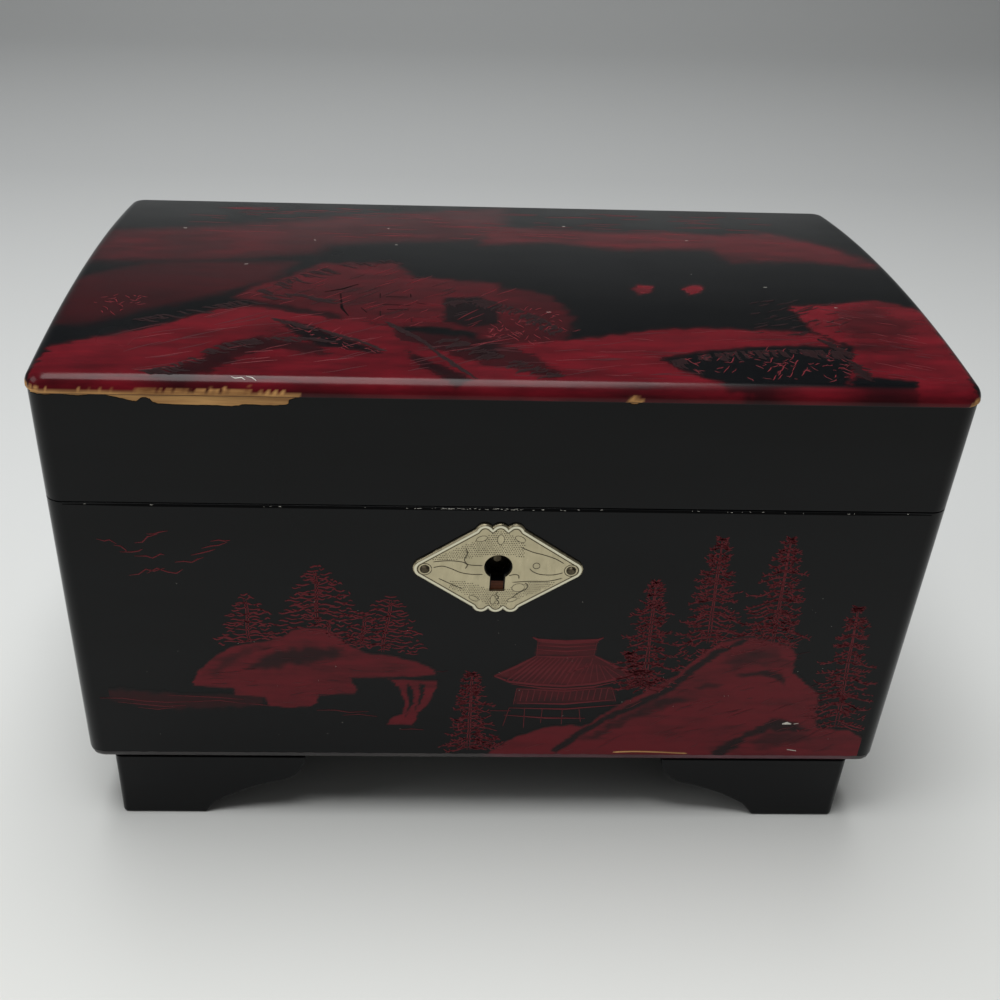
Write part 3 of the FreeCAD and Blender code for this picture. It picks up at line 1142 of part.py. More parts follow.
def stop_rod_guide():
    """A tube on the right lining that guides the rod and holds its spring."""
    tube = rod("guide_tube", "Z", "stop_x", "stop_y", GUIDE_Z, "guide_radius", "guide_height")
    block = box("guide_block", "stop_x", LINED_X, "stop_y - guide_block_half_width",
                "stop_y + guide_block_half_width", GUIDE_Z + " + guide_block_inset",
                GUIDE_Z + " + guide_height - guide_block_inset")
    room = rod("guide_room", "Z", "stop_x", "stop_y", GUIDE_Z + " + guide_end",
               "guide_radius - guide_wall", "guide_height - 2 * guide_end")
    bore = rod("guide_bore", "Z", "stop_x", "stop_y", GUIDE_Z + " - cut_margin",
               "stop_rod_radius + running_clearance", "guide_height + 2 * cut_margin")
    cut("stop_rod_guide", joined("guide_solid", [tube, block]), joined("guide_inside", [room, bore]))


def stop_rod_spring():
    """The coil under the collar, in short straight lengths of wire with a six-sided section."""
    low = value("%s + guide_end + spring_wire_radius" % GUIDE_Z)
    rise = value("%s - spring_wire_radius" % COLLAR_Z) - low
    coil_r = value("(guide_radius - guide_wall + stop_rod_radius) / 2")
    wire_r, turns, steps = value("spring_wire_radius"), value("spring_turns"), 18
    count = int(round(turns * steps))
    sections = []
    for number in range(count + 1):
        turn = 2 * math.pi * number / steps
        out, along = V(math.cos(turn), math.sin(turn), 0), V(0, 0, 1)
        middle = out * coil_r + along * (rise * number / count)
        sections.append([middle + out * (wire_r * math.cos(math.pi * side / 3))
                         + along * (wire_r * math.sin(math.pi * side / 3)) for side in range(6)])
    faces = [Part.Face(Part.makePolygon(section + section[:1])) for section in (sections[0], sections[-1])]
    for first, second in zip(sections, sections[1:]):
        for side in range(6):
            a, b = first[side], first[(side + 1) % 6]
            c, d = second[(side + 1) % 6], second[side]
            faces.append(Part.Face(Part.makePolygon([a, b, c, a])))
            faces.append(Part.Face(Part.makePolygon([a, c, d, a])))
    coil = Part.Solid(Part.Shell(faces))
    if coil.Volume < 0:
        coil.reverse()
    place = V(value("stop_x"), value("stop_y"), low)
    shaped("stop_rod_spring", coil, FreeCAD.Placement(place, FreeCAD.Rotation()))


PIECES = [
    "front_board", "back_board", "left_board", "right_board", "bottom_board",
    "foot_front_left", "foot_front_right", "foot_back_left", "foot_back_right",
    "keyhole_plate", "keyhole_plate_pins", "lock_case", "lock_bolt", "lid_strike",
    "hinge_case_leaf_left", "hinge_case_leaf_right", "hinge_lid_leaf_left", "hinge_lid_leaf_right",
    "hinge_pins", "case_screws", "lid_screws", "lid_front_rail", "lid_back_rail", "lid_left_rail",
    "lid_right_rail", "lid_top_panel", "lid_backing_board", "mirror", "mirror_frame", "lid_pusher",
    "lining_front", "lining_back", "lining_left", "lining_right", "lining_floor",
    "long_partition", "short_partition", "ring_roll_base", "ring_roll_1", "ring_roll_2",
    "ring_roll_3", "ring_roll_4", "glass_cover", "glass_cleats", "movement_bedplate", "comb",
    "movement_screws", "spring_housing", "winding_arbor", "winding_key", "spring_gear",
    "cylinder_arbor", "cylinder", "cylinder_brackets", "governor_wheel", "governor_fan",
    "governor_bracket", "stop_rod", "stop_rod_guide", "stop_rod_spring",
]


def build():
    front_board()
    back_board()
    for side, sign in SIDES:
        side_board(side, sign)
    bottom_board()
    for depth_name, depth_sign in (("front", -1), ("back", 1)):
        for side, sign in SIDES:
            foot(depth_name, depth_sign, side, sign)
    keyhole_plate()
    keyhole_plate_pins()
    lock_case()
    lock_bolt()
    lid_strike()
    for side, sign in SIDES:
        hinge_leaf("hinge_case_leaf_" + side, sign, False)
        hinge_leaf("hinge_lid_leaf_" + side, sign, True)
    hinge_pins()
    brass_screws()
    lid_rails()
    lid_top_panel()
    lid_inside()
    lining()
    partitions()
    glass()
    movement_bedplate()
    comb()
    movement_screws()
    spring_housing()
    winding()
    spring_gear()
    cylinder_train()
    cylinder_brackets()
    governor()
    stop_rod()
    stop_rod_guide()
    stop_rod_spring()
    doc.recompute()


def check():
    for thing in doc.Objects:
        if "Invalid" in thing.State or "Error" in thing.State:
            raise RuntimeError("%s failed: %s" % (thing.Label, thing.State))
    for label in PIECES:
        shape = doc.getObject(label).Shape
        if shape.isNull() or not shape.isValid() or not shape.Solids:
            raise RuntimeError("%s has no valid solid" % label)


def write():
    os.makedirs("parts", exist_ok=True)
    for label in PIECES:
        doc.getObject(label).Shape.exportStep("parts/%s.step" % label)


build()
check()
write()
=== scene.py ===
"""Looks of the lacquered musical jewellery box: its finishes, painted landscapes, wear, cloth and glass.

Metres. +X to the right of someone who faces the front, +Y to the back, +Z up, the origin on the table
under the middle of the case, the same as the packed part.
"""

import json
import math

import bmesh
import bpy
import numpy as np
from mathutils import Matrix, Vector, noise

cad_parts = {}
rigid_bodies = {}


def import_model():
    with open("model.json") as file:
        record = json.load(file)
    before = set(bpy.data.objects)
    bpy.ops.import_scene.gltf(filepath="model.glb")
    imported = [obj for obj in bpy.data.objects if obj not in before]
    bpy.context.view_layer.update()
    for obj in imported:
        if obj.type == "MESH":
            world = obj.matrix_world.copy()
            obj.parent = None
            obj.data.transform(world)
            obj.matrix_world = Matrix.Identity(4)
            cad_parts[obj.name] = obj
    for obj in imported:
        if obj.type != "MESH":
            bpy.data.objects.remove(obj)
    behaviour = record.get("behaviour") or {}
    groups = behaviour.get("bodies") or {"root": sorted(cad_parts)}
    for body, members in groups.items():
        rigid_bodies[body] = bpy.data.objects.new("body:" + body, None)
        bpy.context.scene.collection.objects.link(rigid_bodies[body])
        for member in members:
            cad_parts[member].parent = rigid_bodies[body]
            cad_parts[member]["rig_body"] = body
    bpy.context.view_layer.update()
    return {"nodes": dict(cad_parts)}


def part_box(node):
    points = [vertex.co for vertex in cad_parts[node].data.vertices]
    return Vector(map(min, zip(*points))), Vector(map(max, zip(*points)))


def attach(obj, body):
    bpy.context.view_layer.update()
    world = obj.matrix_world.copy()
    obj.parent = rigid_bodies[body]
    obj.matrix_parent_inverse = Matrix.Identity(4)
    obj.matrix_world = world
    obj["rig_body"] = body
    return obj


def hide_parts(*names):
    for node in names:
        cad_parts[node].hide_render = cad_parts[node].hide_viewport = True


bl_info = {
    "name": "Lacquered musical jewellery box",
    "version": (1, 0, 0),
    "blender": (4, 5, 0),
    "location": "View3D > Sidebar > Jewellery box",
    "description": "Builds a lacquered musical jewellery box with a painted landscape",
    "category": "Object",
}

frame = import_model()
MM = 0.001
FRONT_FACE = -68.5 * MM
ROUNDED_ANGLE = 35.0
SAME_PLACE, FLAT_ANGLE = 2e-6, 0.4
rng = np.random.default_rng(7)


# Small tools for meshes
def carry(bm, strengths, name="paint"):
    """Writes a strength for each of a mesh's first points into its own attribute. The rest keep 0."""
    layer = bm.verts.layers.float.new(name)
    for vert, strength in zip(bm.verts, strengths):
        vert[layer] = strength


def as_mesh(name, bm):
    """Writes a bmesh into a new mesh."""
    mesh = bpy.data.meshes.new(name)
    bm.to_mesh(mesh)
    bm.free()
    return mesh


def into_scene(name, data):
    """Makes an object from a mesh, a lamp or a camera, and links it into the scene."""
    made = bpy.data.objects.new(name, data)
    bpy.context.scene.collection.objects.link(made)
    return made


def placed(name, bm, material, body, smooth=40.0):
    """Puts a bmesh into the scene with its finish, and lets it ride on a body."""
    made = into_scene(name, as_mesh(name, bm))
    made.data.materials.append(material)
    soften(made, smooth)
    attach(made, body)
    return made


def mesh_object(name, bm, material, body, smooth=40.0):
    """Turns a bmesh's faces outwards and puts it into the scene."""
    bmesh.ops.recalc_face_normals(bm, faces=bm.faces)
    return placed(name, bm, material, body, smooth)


def soften(made, angle):
    """Smooth shading, with the edges steeper than the angle kept sharp."""
    made.data.shade_smooth()
    made.data.set_sharp_from_angle(angle=math.radians(angle))


def whole(node):
    """A CAD node's mesh as a closed bmesh with flat faces joined up."""
    bm = bmesh.new()
    bm.from_mesh(frame["nodes"][node].data)
    bmesh.ops.remove_doubles(bm, verts=bm.verts, dist=SAME_PLACE)
    bmesh.ops.dissolve_limit(bm, angle_limit=math.radians(FLAT_ANGLE), verts=bm.verts, edges=bm.edges)
    return bm


def finished(node, material, edge=0.2, segments=2):
    """Stands in for a CAD node: its own shape with the finish and small rounded edges, in mm."""
    made = mesh_object(node + "_finished", whole(node), material, frame["nodes"][node]["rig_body"])
    if edge:
        rounding = made.modifiers.new("rounding", "BEVEL")
        rounding.width = edge * MM
        rounding.segments = segments
        rounding.limit_method = "ANGLE"
        rounding.angle_limit = math.radians(ROUNDED_ANGLE)
        rounding.harden_normals = True
    level = made.modifiers.new("level_faces", "WEIGHTED_NORMAL")
    level.keep_sharp = True
    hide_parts(node)


def box_into(bm, low, high):
    """Adds a closed box between two corners."""
    size = [b - a for a, b in zip(low, high)]
    middle = [(a + b) / 2 for a, b in zip(low, high)]
    place = Matrix.Translation(middle) @ Matrix.Diagonal((*size, 1))
    bmesh.ops.create_cube(bm, size=1, matrix=place)


def join_rings(bm, rings):
    """Walls between rings of corners that follow one another, and a face at both ends."""
    for first, second in zip(rings, rings[1:]):
        for k in range(len(first)):
            after = (k + 1) % len(first)
            bm.faces.new((first[k], first[after], second[after], second[k]))
    bm.faces.new(rings[0])
    bm.faces.new(rings[-1])


def tube_into(bm, points, radius, sides=6, ends=None):
    """Adds a closed round bar along points. ends gives a smaller share of the radius at both tips."""
    points = [Vector(p) for p in points]
    rings, side = [], None
    for number, point in enumerate(points):
        before, after = points[max(number - 1, 0)], points[min(number + 1, len(points) - 1)]
        along = (after - before).normalized()
        side = along.orthogonal() if side is None else side - along * side.dot(along)
        side.normalize()
        up = along.cross(side)
        size = radius * (ends if ends is not None and number in (0, len(points) - 1) else 1)
        rings.append([bm.verts.new(point + size * (math.cos(2 * math.pi * k / sides) * side
                                                   + math.sin(2 * math.pi * k / sides) * up))
                      for k in range(sides)])
    join_rings(bm, rings)


def ribbon_into(bm, points, width, normal, lift, height=0.02 * MM, taper=0.35):
    """Adds a thin painted stroke along points: a low closed strip that narrows at both ends."""
    points = [Vector(p) for p in points]
    normal = Vector(normal)
    rings = []
    for number, point in enumerate(points):
        before, after = points[max(number - 1, 0)], points[min(number + 1, len(points) - 1)]
        along = after - before
        if along.length < 1e-9:
            return
        side = along.cross(normal).normalized()
        share = taper if number in (0, len(points) - 1) else 1.0
        half = side * (width * share / 2)
        base = point + normal * lift
        rings.append([bm.verts.new(base - half), bm.verts.new(base + half),
                      bm.verts.new(base + half * 0.8 + normal * height),
                      bm.verts.new(base - half * 0.8 + normal * height)])
    join_rings(bm, rings)


def roughly(value, scale=60.0, seed=0.0):
    """Smooth noise about zero at a place, with the scale in waves per unit of the place."""
    x, y, z = value
    return noise.noise(Vector((x * scale + seed, y * scale - seed, z * scale + 3 * seed)))


# Finishes
def shade(red, green, blue):
    """A colour as seen on a screen, 0 to 255, as the shader's own numbers."""
    def linear(level):
        level /= 255
        return level / 12.92 if level <= 0.04045 else ((level + 0.055) / 1.055) ** 2.4
    return (linear(red), linear(green), linear(blue), 1.0)


def dimmed(colour, share):
    """The colour with its levels times a share."""
    return tuple(share * level for level in colour[:3]) + (1.0,)


def grain_group():
    """The grain that every finish shares: noise over the object's own coordinates, stretched."""
    group = bpy.data.node_groups.get("stretched_grain")
    if group:
        return group
    group = bpy.data.node_groups.new("stretched_grain", "ShaderNodeTree")
    for name in ("Scale", "Detail", "Roughness"):
        group.interface.new_socket(name=name, in_out="INPUT", socket_type="NodeSocketFloat")
    group.interface.new_socket(name="Stretch", in_out="INPUT", socket_type="NodeSocketVector")
    group.interface.new_socket(name="Amount", in_out="OUTPUT", socket_type="NodeSocketFloat")
    given = group.nodes.new("NodeGroupInput")
    place = group.nodes.new("ShaderNodeTexCoord")
    mapping = group.nodes.new("ShaderNodeMapping")
    grain = group.nodes.new("ShaderNodeTexNoise")
    result = group.nodes.new("NodeGroupOutput")
    group.links.new(place.outputs["Object"], mapping.inputs["Vector"])
    group.links.new(given.outputs["Stretch"], mapping.inputs["Scale"])
    group.links.new(mapping.outputs["Vector"], grain.inputs["Vector"])
    for name in ("Scale", "Detail", "Roughness"):
        group.links.new(given.outputs[name], grain.inputs[name])
    group.links.new(grain.outputs["Fac"], result.inputs["Amount"])
    return group


class Finish:
    """A material with one Principled shader, and short ways to add nodes to it."""

    def __init__(self, name, colour=(0.8, 0.8, 0.8, 1.0), roughness=0.5, metallic=0.0, **sockets):
        self.material = bpy.data.materials.new(name)
        self.material.use_nodes = True
        self.nodes = self.material.node_tree.nodes
        self.links = self.material.node_tree.links
        self.shader = self.nodes["Principled BSDF"]
        plain = {"Base Color": colour, "Roughness": roughness, "Metallic": metallic}
        for socket, number in {**plain, **sockets}.items():
            self.shader.inputs[socket].default_value = number

    def node(self, kind, **settings):
        """A new shader node. Each setting goes to the socket of that name, or else to the property."""
        made = self.nodes.new("ShaderNode" + kind)
        for key, setting in settings.items():
            if key in made.inputs:
                made.inputs[key].default_value = setting
            else:
                setattr(made, key, setting)
        return made

    def link(self, source, target):
        """Joins one node's output to another's input."""
        self.links.new(source, target)

    def feed(self, given, target):
        """Gives an input a plain value, or joins another node's output to it."""
        if isinstance(given, bpy.types.NodeSocket):
            self.link(given, target)
        else:
            target.default_value = given

    def drive(self, socket, given):
        """Feeds an input of the material's shader."""
        self.feed(given, self.shader.inputs[socket])

    def maths(self, operation, *given, use_clamp=False):
        """One step of arithmetic with numbers and other nodes' outputs."""
        made = self.node("Math", operation=operation, use_clamp=use_clamp)
        for number, target in zip(given, made.inputs):
            self.feed(number, target)
        return made.outputs[0]

    def noise(self, scale, detail=3.0, stretch=(1, 1, 1), roughness=0.55):
        """Noise over the object's own coordinates, stretched along its axes."""
        made = self.nodes.new("ShaderNodeGroup")
        made.node_tree = grain_group()
        for name, number in (("Scale", scale), ("Detail", detail), ("Roughness", roughness),
                             ("Stretch", stretch)):
            made.inputs[name].default_value = number
        return made.outputs["Amount"]

    def curve(self, source, *stops):
        """A colour ramp from (place, colour) stops."""
        ramp = self.node("ValToRGB")
        elements = ramp.color_ramp.elements
        while len(elements) < len(stops):
            elements.new(0.5)
        for element, (place, colour) in zip(elements, stops):
            element.position = place
            element.color = colour
        self.link(source, ramp.inputs["Fac"])
        return ramp.outputs["Color"]

    def span(self, source, low, high, to_low, to_high):
        """Maps the numbers from low to high onto those from to_low to to_high."""
        places = {"From Min": low, "From Max": high, "To Min": to_low, "To Max": to_high}
        ranged = self.node("MapRange", **places)
        self.link(source, ranged.inputs["Value"])
        return ranged.outputs["Result"]

    def mix(self, share, first, second):
        """Blends two colours, each a plain colour or another node's output."""
        made = self.node("Mix", data_type="RGBA")
        self.link(share, made.inputs["Factor"])
        for socket, given in (("A", first), ("B", second)):
            self.feed(given, next(item for item in made.inputs
                                  if item.name == socket and item.type == "RGBA"))
        return next(item for item in made.outputs if item.type == "RGBA")

    def bump(self, source, distance, strength=1.0):
        """Small bumps in the surface, with their height in metres."""
        made = self.node("Bump", Strength=strength, Distance=distance)
        self.link(source, made.inputs["Height"])
        self.drive("Normal", made.outputs["Normal"])


def lacquer_finish(black, crimson):
    """Gloss black lacquer with faint dusty streaks. Where a mesh carries the paint attribute, its
    strength turns the black to brushed crimson, and the worn attribute bares the wood."""
    finish = Finish("lacquer", roughness=0.2, **{"Specular IOR Level": 0.17})
    paint = finish.node("Attribute", attribute_name="paint")
    streaks = finish.noise(210, 4.0, (0.3, 1.25, 1.7), 0.6)
    cloud = finish.noise(34, 3.0, (0.7, 1.5, 1.2))
    uneven = finish.maths("MULTIPLY_ADD", finish.span(streaks, 0.25, 0.75, -0.62, 0.5), 0.6,
                          finish.span(cloud, 0.2, 0.8, 0.7, 1.22))
    amount = finish.maths("MULTIPLY", paint.outputs["Fac"], uneven, use_clamp=True)
    share = finish.curve(amount, (0.0, (0, 0, 0, 1)), (0.35, (0.22, 0.22, 0.22, 1)),
                         (0.75, (0.72, 0.72, 0.72, 1)), (1.0, (1, 1, 1, 1)))
    # Faint lighter streaks in the black: partly dust, partly painted reflection haze
    ground = finish.curve(finish.noise(26, 5.0, (0.3, 1.0, 2.6)), (0.35, black),
                          (0.72, dimmed(black, 1.7)))
    painted = finish.mix(share, ground, crimson)
    worn = finish.node("Attribute", attribute_name="worn")
    grain = finish.curve(finish.noise(300, 5.0, (0.25, 1.0, 2.0)), (0.3, shade(126, 82, 46)),
                         (0.62, shade(214, 162, 102)))
    finish.drive("Base Color", finish.mix(worn.outputs["Fac"], painted, grain))
    gloss = finish.span(finish.noise(30, 3.0), 0.3, 0.7, 0.14, 0.28)
    dull = finish.maths("MULTIPLY_ADD", worn.outputs["Fac"], 0.5, gloss, use_clamp=True)
    finish.drive("Roughness", dull)
    finish.bump(finish.noise(26, 2.0, (0.45, 1.0, 1.5)), 0.0007, 0.35)
    return finish.material


def rubbed_finish():
    """Lacquer rubbed dull along an edge: grey, and a dusty pink where it is painted."""
    finish = Finish("rubbed_edge", roughness=0.42, **{"Specular IOR Level": 0.3})
    paint = finish.node("Attribute", attribute_name="paint")
    grain = finish.noise(90, 4.0, (0.3, 1.0, 2.0))
    # Painted highlight: grey over the black lacquer, dusty pink over the crimson ground
    bare = finish.curve(grain, (0.35, shade(38, 38, 39)), (0.65, shade(62, 61, 60)))
    pink = finish.curve(grain, (0.35, shade(70, 34, 42)), (0.65, shade(104, 60, 68)))
    finish.drive("Base Color", finish.mix(paint.outputs["Fac"], bare, pink))
    return finish.material


def metal_finish(name, colour, roughness, scratch=900, deep=0.35):
    """Metal with fine upright scratches and slightly darker patches."""
    finish = Finish(name, colour, roughness, 1.0)
    wear = finish.noise(scratch, 3.0, (1.0, 1.0, 0.25))
    finish.drive("Roughness", finish.span(wear, 0.3, 0.7, roughness * (1 - deep), roughness * (1 + deep)))
    dull = finish.noise(120, 4.0)
    finish.drive("Base Color", finish.curve(dull, (0.3, dimmed(colour, 0.86)), (0.62, colour)))
    return finish.material


def wood_finish(name, light, dark, stretch=(0.06, 1.0, 1.0)):
    """Plain wood with its grain along X."""
    finish = Finish(name, light, 0.75, **{"Specular IOR Level": 0.25})
    grain = finish.noise(420, 5.0, stretch, 0.65)
    finish.drive("Base Color", finish.curve(grain, (0.35, dark), (0.65, light)))
    finish.bump(grain, 0.00008, 0.5)
    return finish.material


def velvet_finish(name, colour, pale, fine=1500):
    """Velvet with a fine pile, a pale sheen and brushed patches."""
    finish = Finish(name, colour, 0.9, **{"Sheen Weight": 0.55, "Sheen Roughness": 0.4,
                                         "Specular IOR Level": 0.1, "Sheen Tint": pale})
    pile = finish.noise(fine, 3.0)
    brushed = finish.noise(45, 3.0, (1.0, 0.6, 1.0))
    both = finish.maths("ADD", finish.span(pile, 0.2, 0.8, -0.12, 0.12), brushed)
    finish.drive("Base Color", finish.curve(both, (0.3, dimmed(colour, 0.5)), (0.7, colour)))
    finish.bump(pile, 0.00015, 0.6)
    return finish.material


def glass_finish():
    """Thin clear glass: it lets light straight through and keeps a pale reflection at a slant."""
    finish = Finish("clear_glass", (1, 1, 1, 1), 0.02, **{"Specular IOR Level": 0.5, "Coat Weight": 0.3})
    clear = finish.node("BsdfTransparent", Color=(0.93, 0.97, 0.95, 1.0))
    shine = finish.node("BsdfGlossy", Color=(1, 1, 1, 1), Roughness=0.02)
    slant = finish.node("Fresnel", IOR=1.45)
    mixed = finish.node("MixShader")
    finish.link(slant.outputs[0], mixed.inputs[0])
    finish.link(clear.outputs[0], mixed.inputs[1])
    finish.link(shine.outputs[0], mixed.inputs[2])
    finish.link(mixed.outputs[0], finish.nodes["Material Output"].inputs["Surface"])
    return finish.material


FINISHES = {}
# Metals: the material's name, colour, roughness and how fine the scratches are
METALS = {
    # The first steel is dark partly with age, on the plate's pins, and partly as painted shade, on the lock
    # inside the keyhole
    "aged_and_shaded": ("aged_and_shaded_steel", (92, 84, 68), 0.5, 900),
    "brass": ("brass", (208, 170, 96), 0.26, 900),
    "steel": ("steel", (190, 192, 195), 0.3, 900),
    "comb_steel": ("comb_steel", (168, 172, 180), 0.24, 900),
    "cast": ("cast_bed", (176, 170, 152), 0.42, 900),
    "gilt": ("gilt_frame", (206, 168, 92), 0.32, 500),
}
# Woods: the material's name, its light colour and its dark one
WOODS = {
    "wood": ("bare_wood", (218, 168, 108), (150, 104, 62)),
    # The next wood is a dark brown, for the wood seen in the keyhole slot
    "keyhole_wood": ("dark_brown_wood", (104, 58, 36), (58, 30, 20)),
    "plywood": ("plain_wood", (168, 132, 92), (128, 92, 58)),
}
# Finishes without grain: the material's name, colour, roughness, share of metal and specular level
PLAIN_FINISHES = {
    "polished": ("polished_rim", (216, 212, 190), 0.34, 1.0, 0.5),
    "groove": ("engraved_line", (66, 58, 40), 0.6, 0.3, 0.5),
    "bright": ("bright_fleck", (214, 210, 200), 0.5, 0.0, 0.5),
    "stroke": ("painted_stroke", (104, 24, 33), 0.55, 0.0, 0.25),
    "crimson": ("crimson_stroke", (94, 18, 27), 0.3, 0.0, 0.25),
    "shadow": ("dark_brush", (30, 10, 13), 0.4, 0.0, 0.2),
    "faint": ("faint_mark", (60, 18, 24), 0.5, 0.0, 0.2),
    "dark": ("dark_line", (4, 4, 5), 0.6, 0.0, 0.05),
}


def make_finishes():
    """Makes every material once, with the colours that the user chose."""
    if FINISHES:
        return
    chosen = bpy.context.scene.jewellery_box
    FINISHES.update(
        lacquer=lacquer_finish(tuple(chosen.black), tuple(chosen.crimson)),
        rubbed=rubbed_finish(),
        nickel=metal_finish("pale_nickel", tuple(chosen.plate), 0.36),
        velvet=velvet_finish("red_velvet", tuple(chosen.velvet), shade(230, 150, 150)),
        roll=velvet_finish("velvet_roll", shade(136, 22, 34), shade(236, 160, 160)),
        mirror=Finish("looking_glass", (0.92, 0.93, 0.93, 1.0), 0.015, 1.0).material,
        glass=glass_finish(),
    )
    for key, (name, colour, roughness, scratch) in METALS.items():
        FINISHES[key] = metal_finish(name, shade(*colour), roughness, scratch)
    for key, (name, light, dark) in WOODS.items():
        FINISHES[key] = wood_finish(name, shade(*light), shade(*dark))
    for key, (name, colour, roughness, metal, specular) in PLAIN_FINISHES.items():
        plain = Finish(name, shade(*colour), roughness, metal, **{"Specular IOR Level": specular})
        FINISHES[key] = plain.material


# Stage
CAMERA_PLACE = Vector((-0.02611, -0.32162, 0.26583))
YAW, PITCH, ROLL = math.radians(2.14), math.radians(33.2), math.radians(-1.86)
SENSOR, LENS, SHIFT = 36, 42.51, (0.065, 0.04)


def look_from_photo():
    """A camera with the photo's place, tilt and lens."""
    ahead = Vector((math.sin(YAW) * math.cos(PITCH), math.cos(YAW) * math.cos(PITCH), -math.sin(PITCH)))
    right = Vector((math.cos(YAW), -math.sin(YAW), 0))
    down = ahead.cross(right)
    turned = math.cos(ROLL) * right + math.sin(ROLL) * down
    lower = -math.sin(ROLL) * right + math.cos(ROLL) * down
    data = bpy.data.cameras.new("photo_camera")
    data.sensor_width = SENSOR
    data.lens = LENS
    data.shift_x, data.shift_y = SHIFT
    camera = into_scene("photo_camera", data)
    camera.matrix_world = Matrix.Translation(CAMERA_PLACE) @ Matrix((
        (turned.x, -lower.x, -ahead.x), (turned.y, -lower.y, -ahead.y),
        (turned.z, -lower.z, -ahead.z))).to_4x4()
    bpy.context.scene.camera = camera


def lamp(name, place, target, size, power):
    """A rectangular lamp that faces a target."""
    data = bpy.data.lights.new(name, "AREA")
    data.shape = "RECTANGLE"
    data.size, data.size_y = size
    data.energy = power
    made = into_scene(name, data)
    made.location = place
    made.rotation_euler = (Vector(target) - Vector(place)).to_track_quat("-Z", "Y").to_euler()


BACKDROP_HALF, BACKDROP_BEND, BACKDROP_DROP = 2.5, 0.5, 0.0001


def build_stage():
    """A sweep of pale paper, two lamps, the room's light and the camera."""
    bm = bmesh.new()
    rows = [(-2.0, 0.0), (1.1, 0.0)]
    rows += [(1.1 + BACKDROP_BEND * math.sin(a), BACKDROP_BEND - BACKDROP_BEND * math.cos(a))
             for a in (math.radians(9 * k) for k in range(1, 11))]
    rows.append((1.6, 2.4))
    bmesh.ops.create_grid(bm, x_segments=1, y_segments=len(rows) - 1, size=BACKDROP_HALF)
    for vert in bm.verts:
        row = round((vert.co.y / BACKDROP_HALF + 1) / 2 * (len(rows) - 1))
        vert.co.y, vert.co.z = rows[row][0], rows[row][1] - BACKDROP_DROP
    sweep = into_scene("backdrop", as_mesh("backdrop", bm))
    sweep.data.shade_smooth()
    paper = Finish("backdrop_paper", shade(200, 202, 201), 0.9, **{"Specular IOR Level": 0.05})
    # Painted light on the paper: its colour grows darker from the front towards the back and up the sweep
    place = paper.node("TexCoord")
    split = paper.node("SeparateXYZ")
    paper.link(place.outputs["Object"], split.inputs[0])
    depth = paper.span(split.outputs["Y"], -0.3, 0.6, 0.0, 1.0)
    paper.link(paper.curve(depth, (0.0, shade(226, 227, 223)), (0.45, shade(210, 212, 211)),
                           (1.0, shade(184, 186, 186))), paper.shader.inputs["Base Color"])
    sweep.data.materials.append(paper.material)
    lamp("ceiling_lamp", (-0.1, 0.02, 1.3), (0, 0.0, 0), (1.1, 0.8), 18.5)
    lamp("side_lamp", (-1.2, -0.3, 0.9), (0, 0, 0.05), (0.6, 0.6), 3)
    world = bpy.data.worlds.new("room")
    world.use_nodes = True
    world.node_tree.nodes["Background"].inputs["Color"].default_value = (1.0, 0.995, 0.985, 1.0)
    world.node_tree.nodes["Background"].inputs["Strength"].default_value = 0.1
    bpy.context.scene.world = world
    bpy.context.scene.view_settings.view_transform = "Standard"
    look_from_photo()


# The case
BOARDS = ("front_board", "back_board", "left_board", "right_board", "bottom_board")
RAILS = ("lid_front_rail", "lid_back_rail", "lid_left_rail", "lid_right_rail")
FEET = ("foot_front_left", "foot_front_right", "foot_back_left", "foot_back_right")


def build_boards():
    """The lacquered boards, rails and feet."""
    edge = bpy.context.scene.jewellery_box.edge_rounding / MM
    for node in BOARDS + RAILS:
        finished(node, FINISHES["lacquer"], edge)
    for node in FEET:
        finished(node, FINISHES["lacquer"], 2 * edge, 3)


FITTING_EDGE = 0.06


def build_fittings():
    """The keyhole plate, the lock, the hinges and their screws."""
    # The lock's case and bolt are dark as painted shade inside the keyhole; the plate's pins are dark with
    # age
    for node in ("keyhole_plate_pins", "lock_case", "lock_bolt"):
        finished(node, FINISHES["aged_and_shaded"], FITTING_EDGE)
    for node in ("keyhole_plate", "lid_strike", "hinge_case_leaf_left", "hinge_case_leaf_right",
                 "hinge_lid_leaf_left", "hinge_lid_leaf_right", "hinge_pins", "case_screws", "lid_screws"):
        finished(node, FINISHES["nickel"], FITTING_EDGE)


PLATE_MIDDLE = 91.6
PIN_PLACES = (-19.1, 19.1)
# Rings on the plate: middle, radius and line width
PLATE_RINGS = [(-19.1, 0.0, 1.8, 0.22), (19.1, 0.0, 1.8, 0.22), (-19.1, 0.0, 1.16, 0.36),
               (19.1, 0.0, 1.16, 0.36), (9.9, 1.4, 0.9, 0.22)]


def engraved(points):
    """Points on the keyhole plate's front, measured in mm from the plate's middle."""
    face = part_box("keyhole_plate")[0].y
    return [(x * MM, face, (PLATE_MIDDLE + z) * MM) for x, z in points]


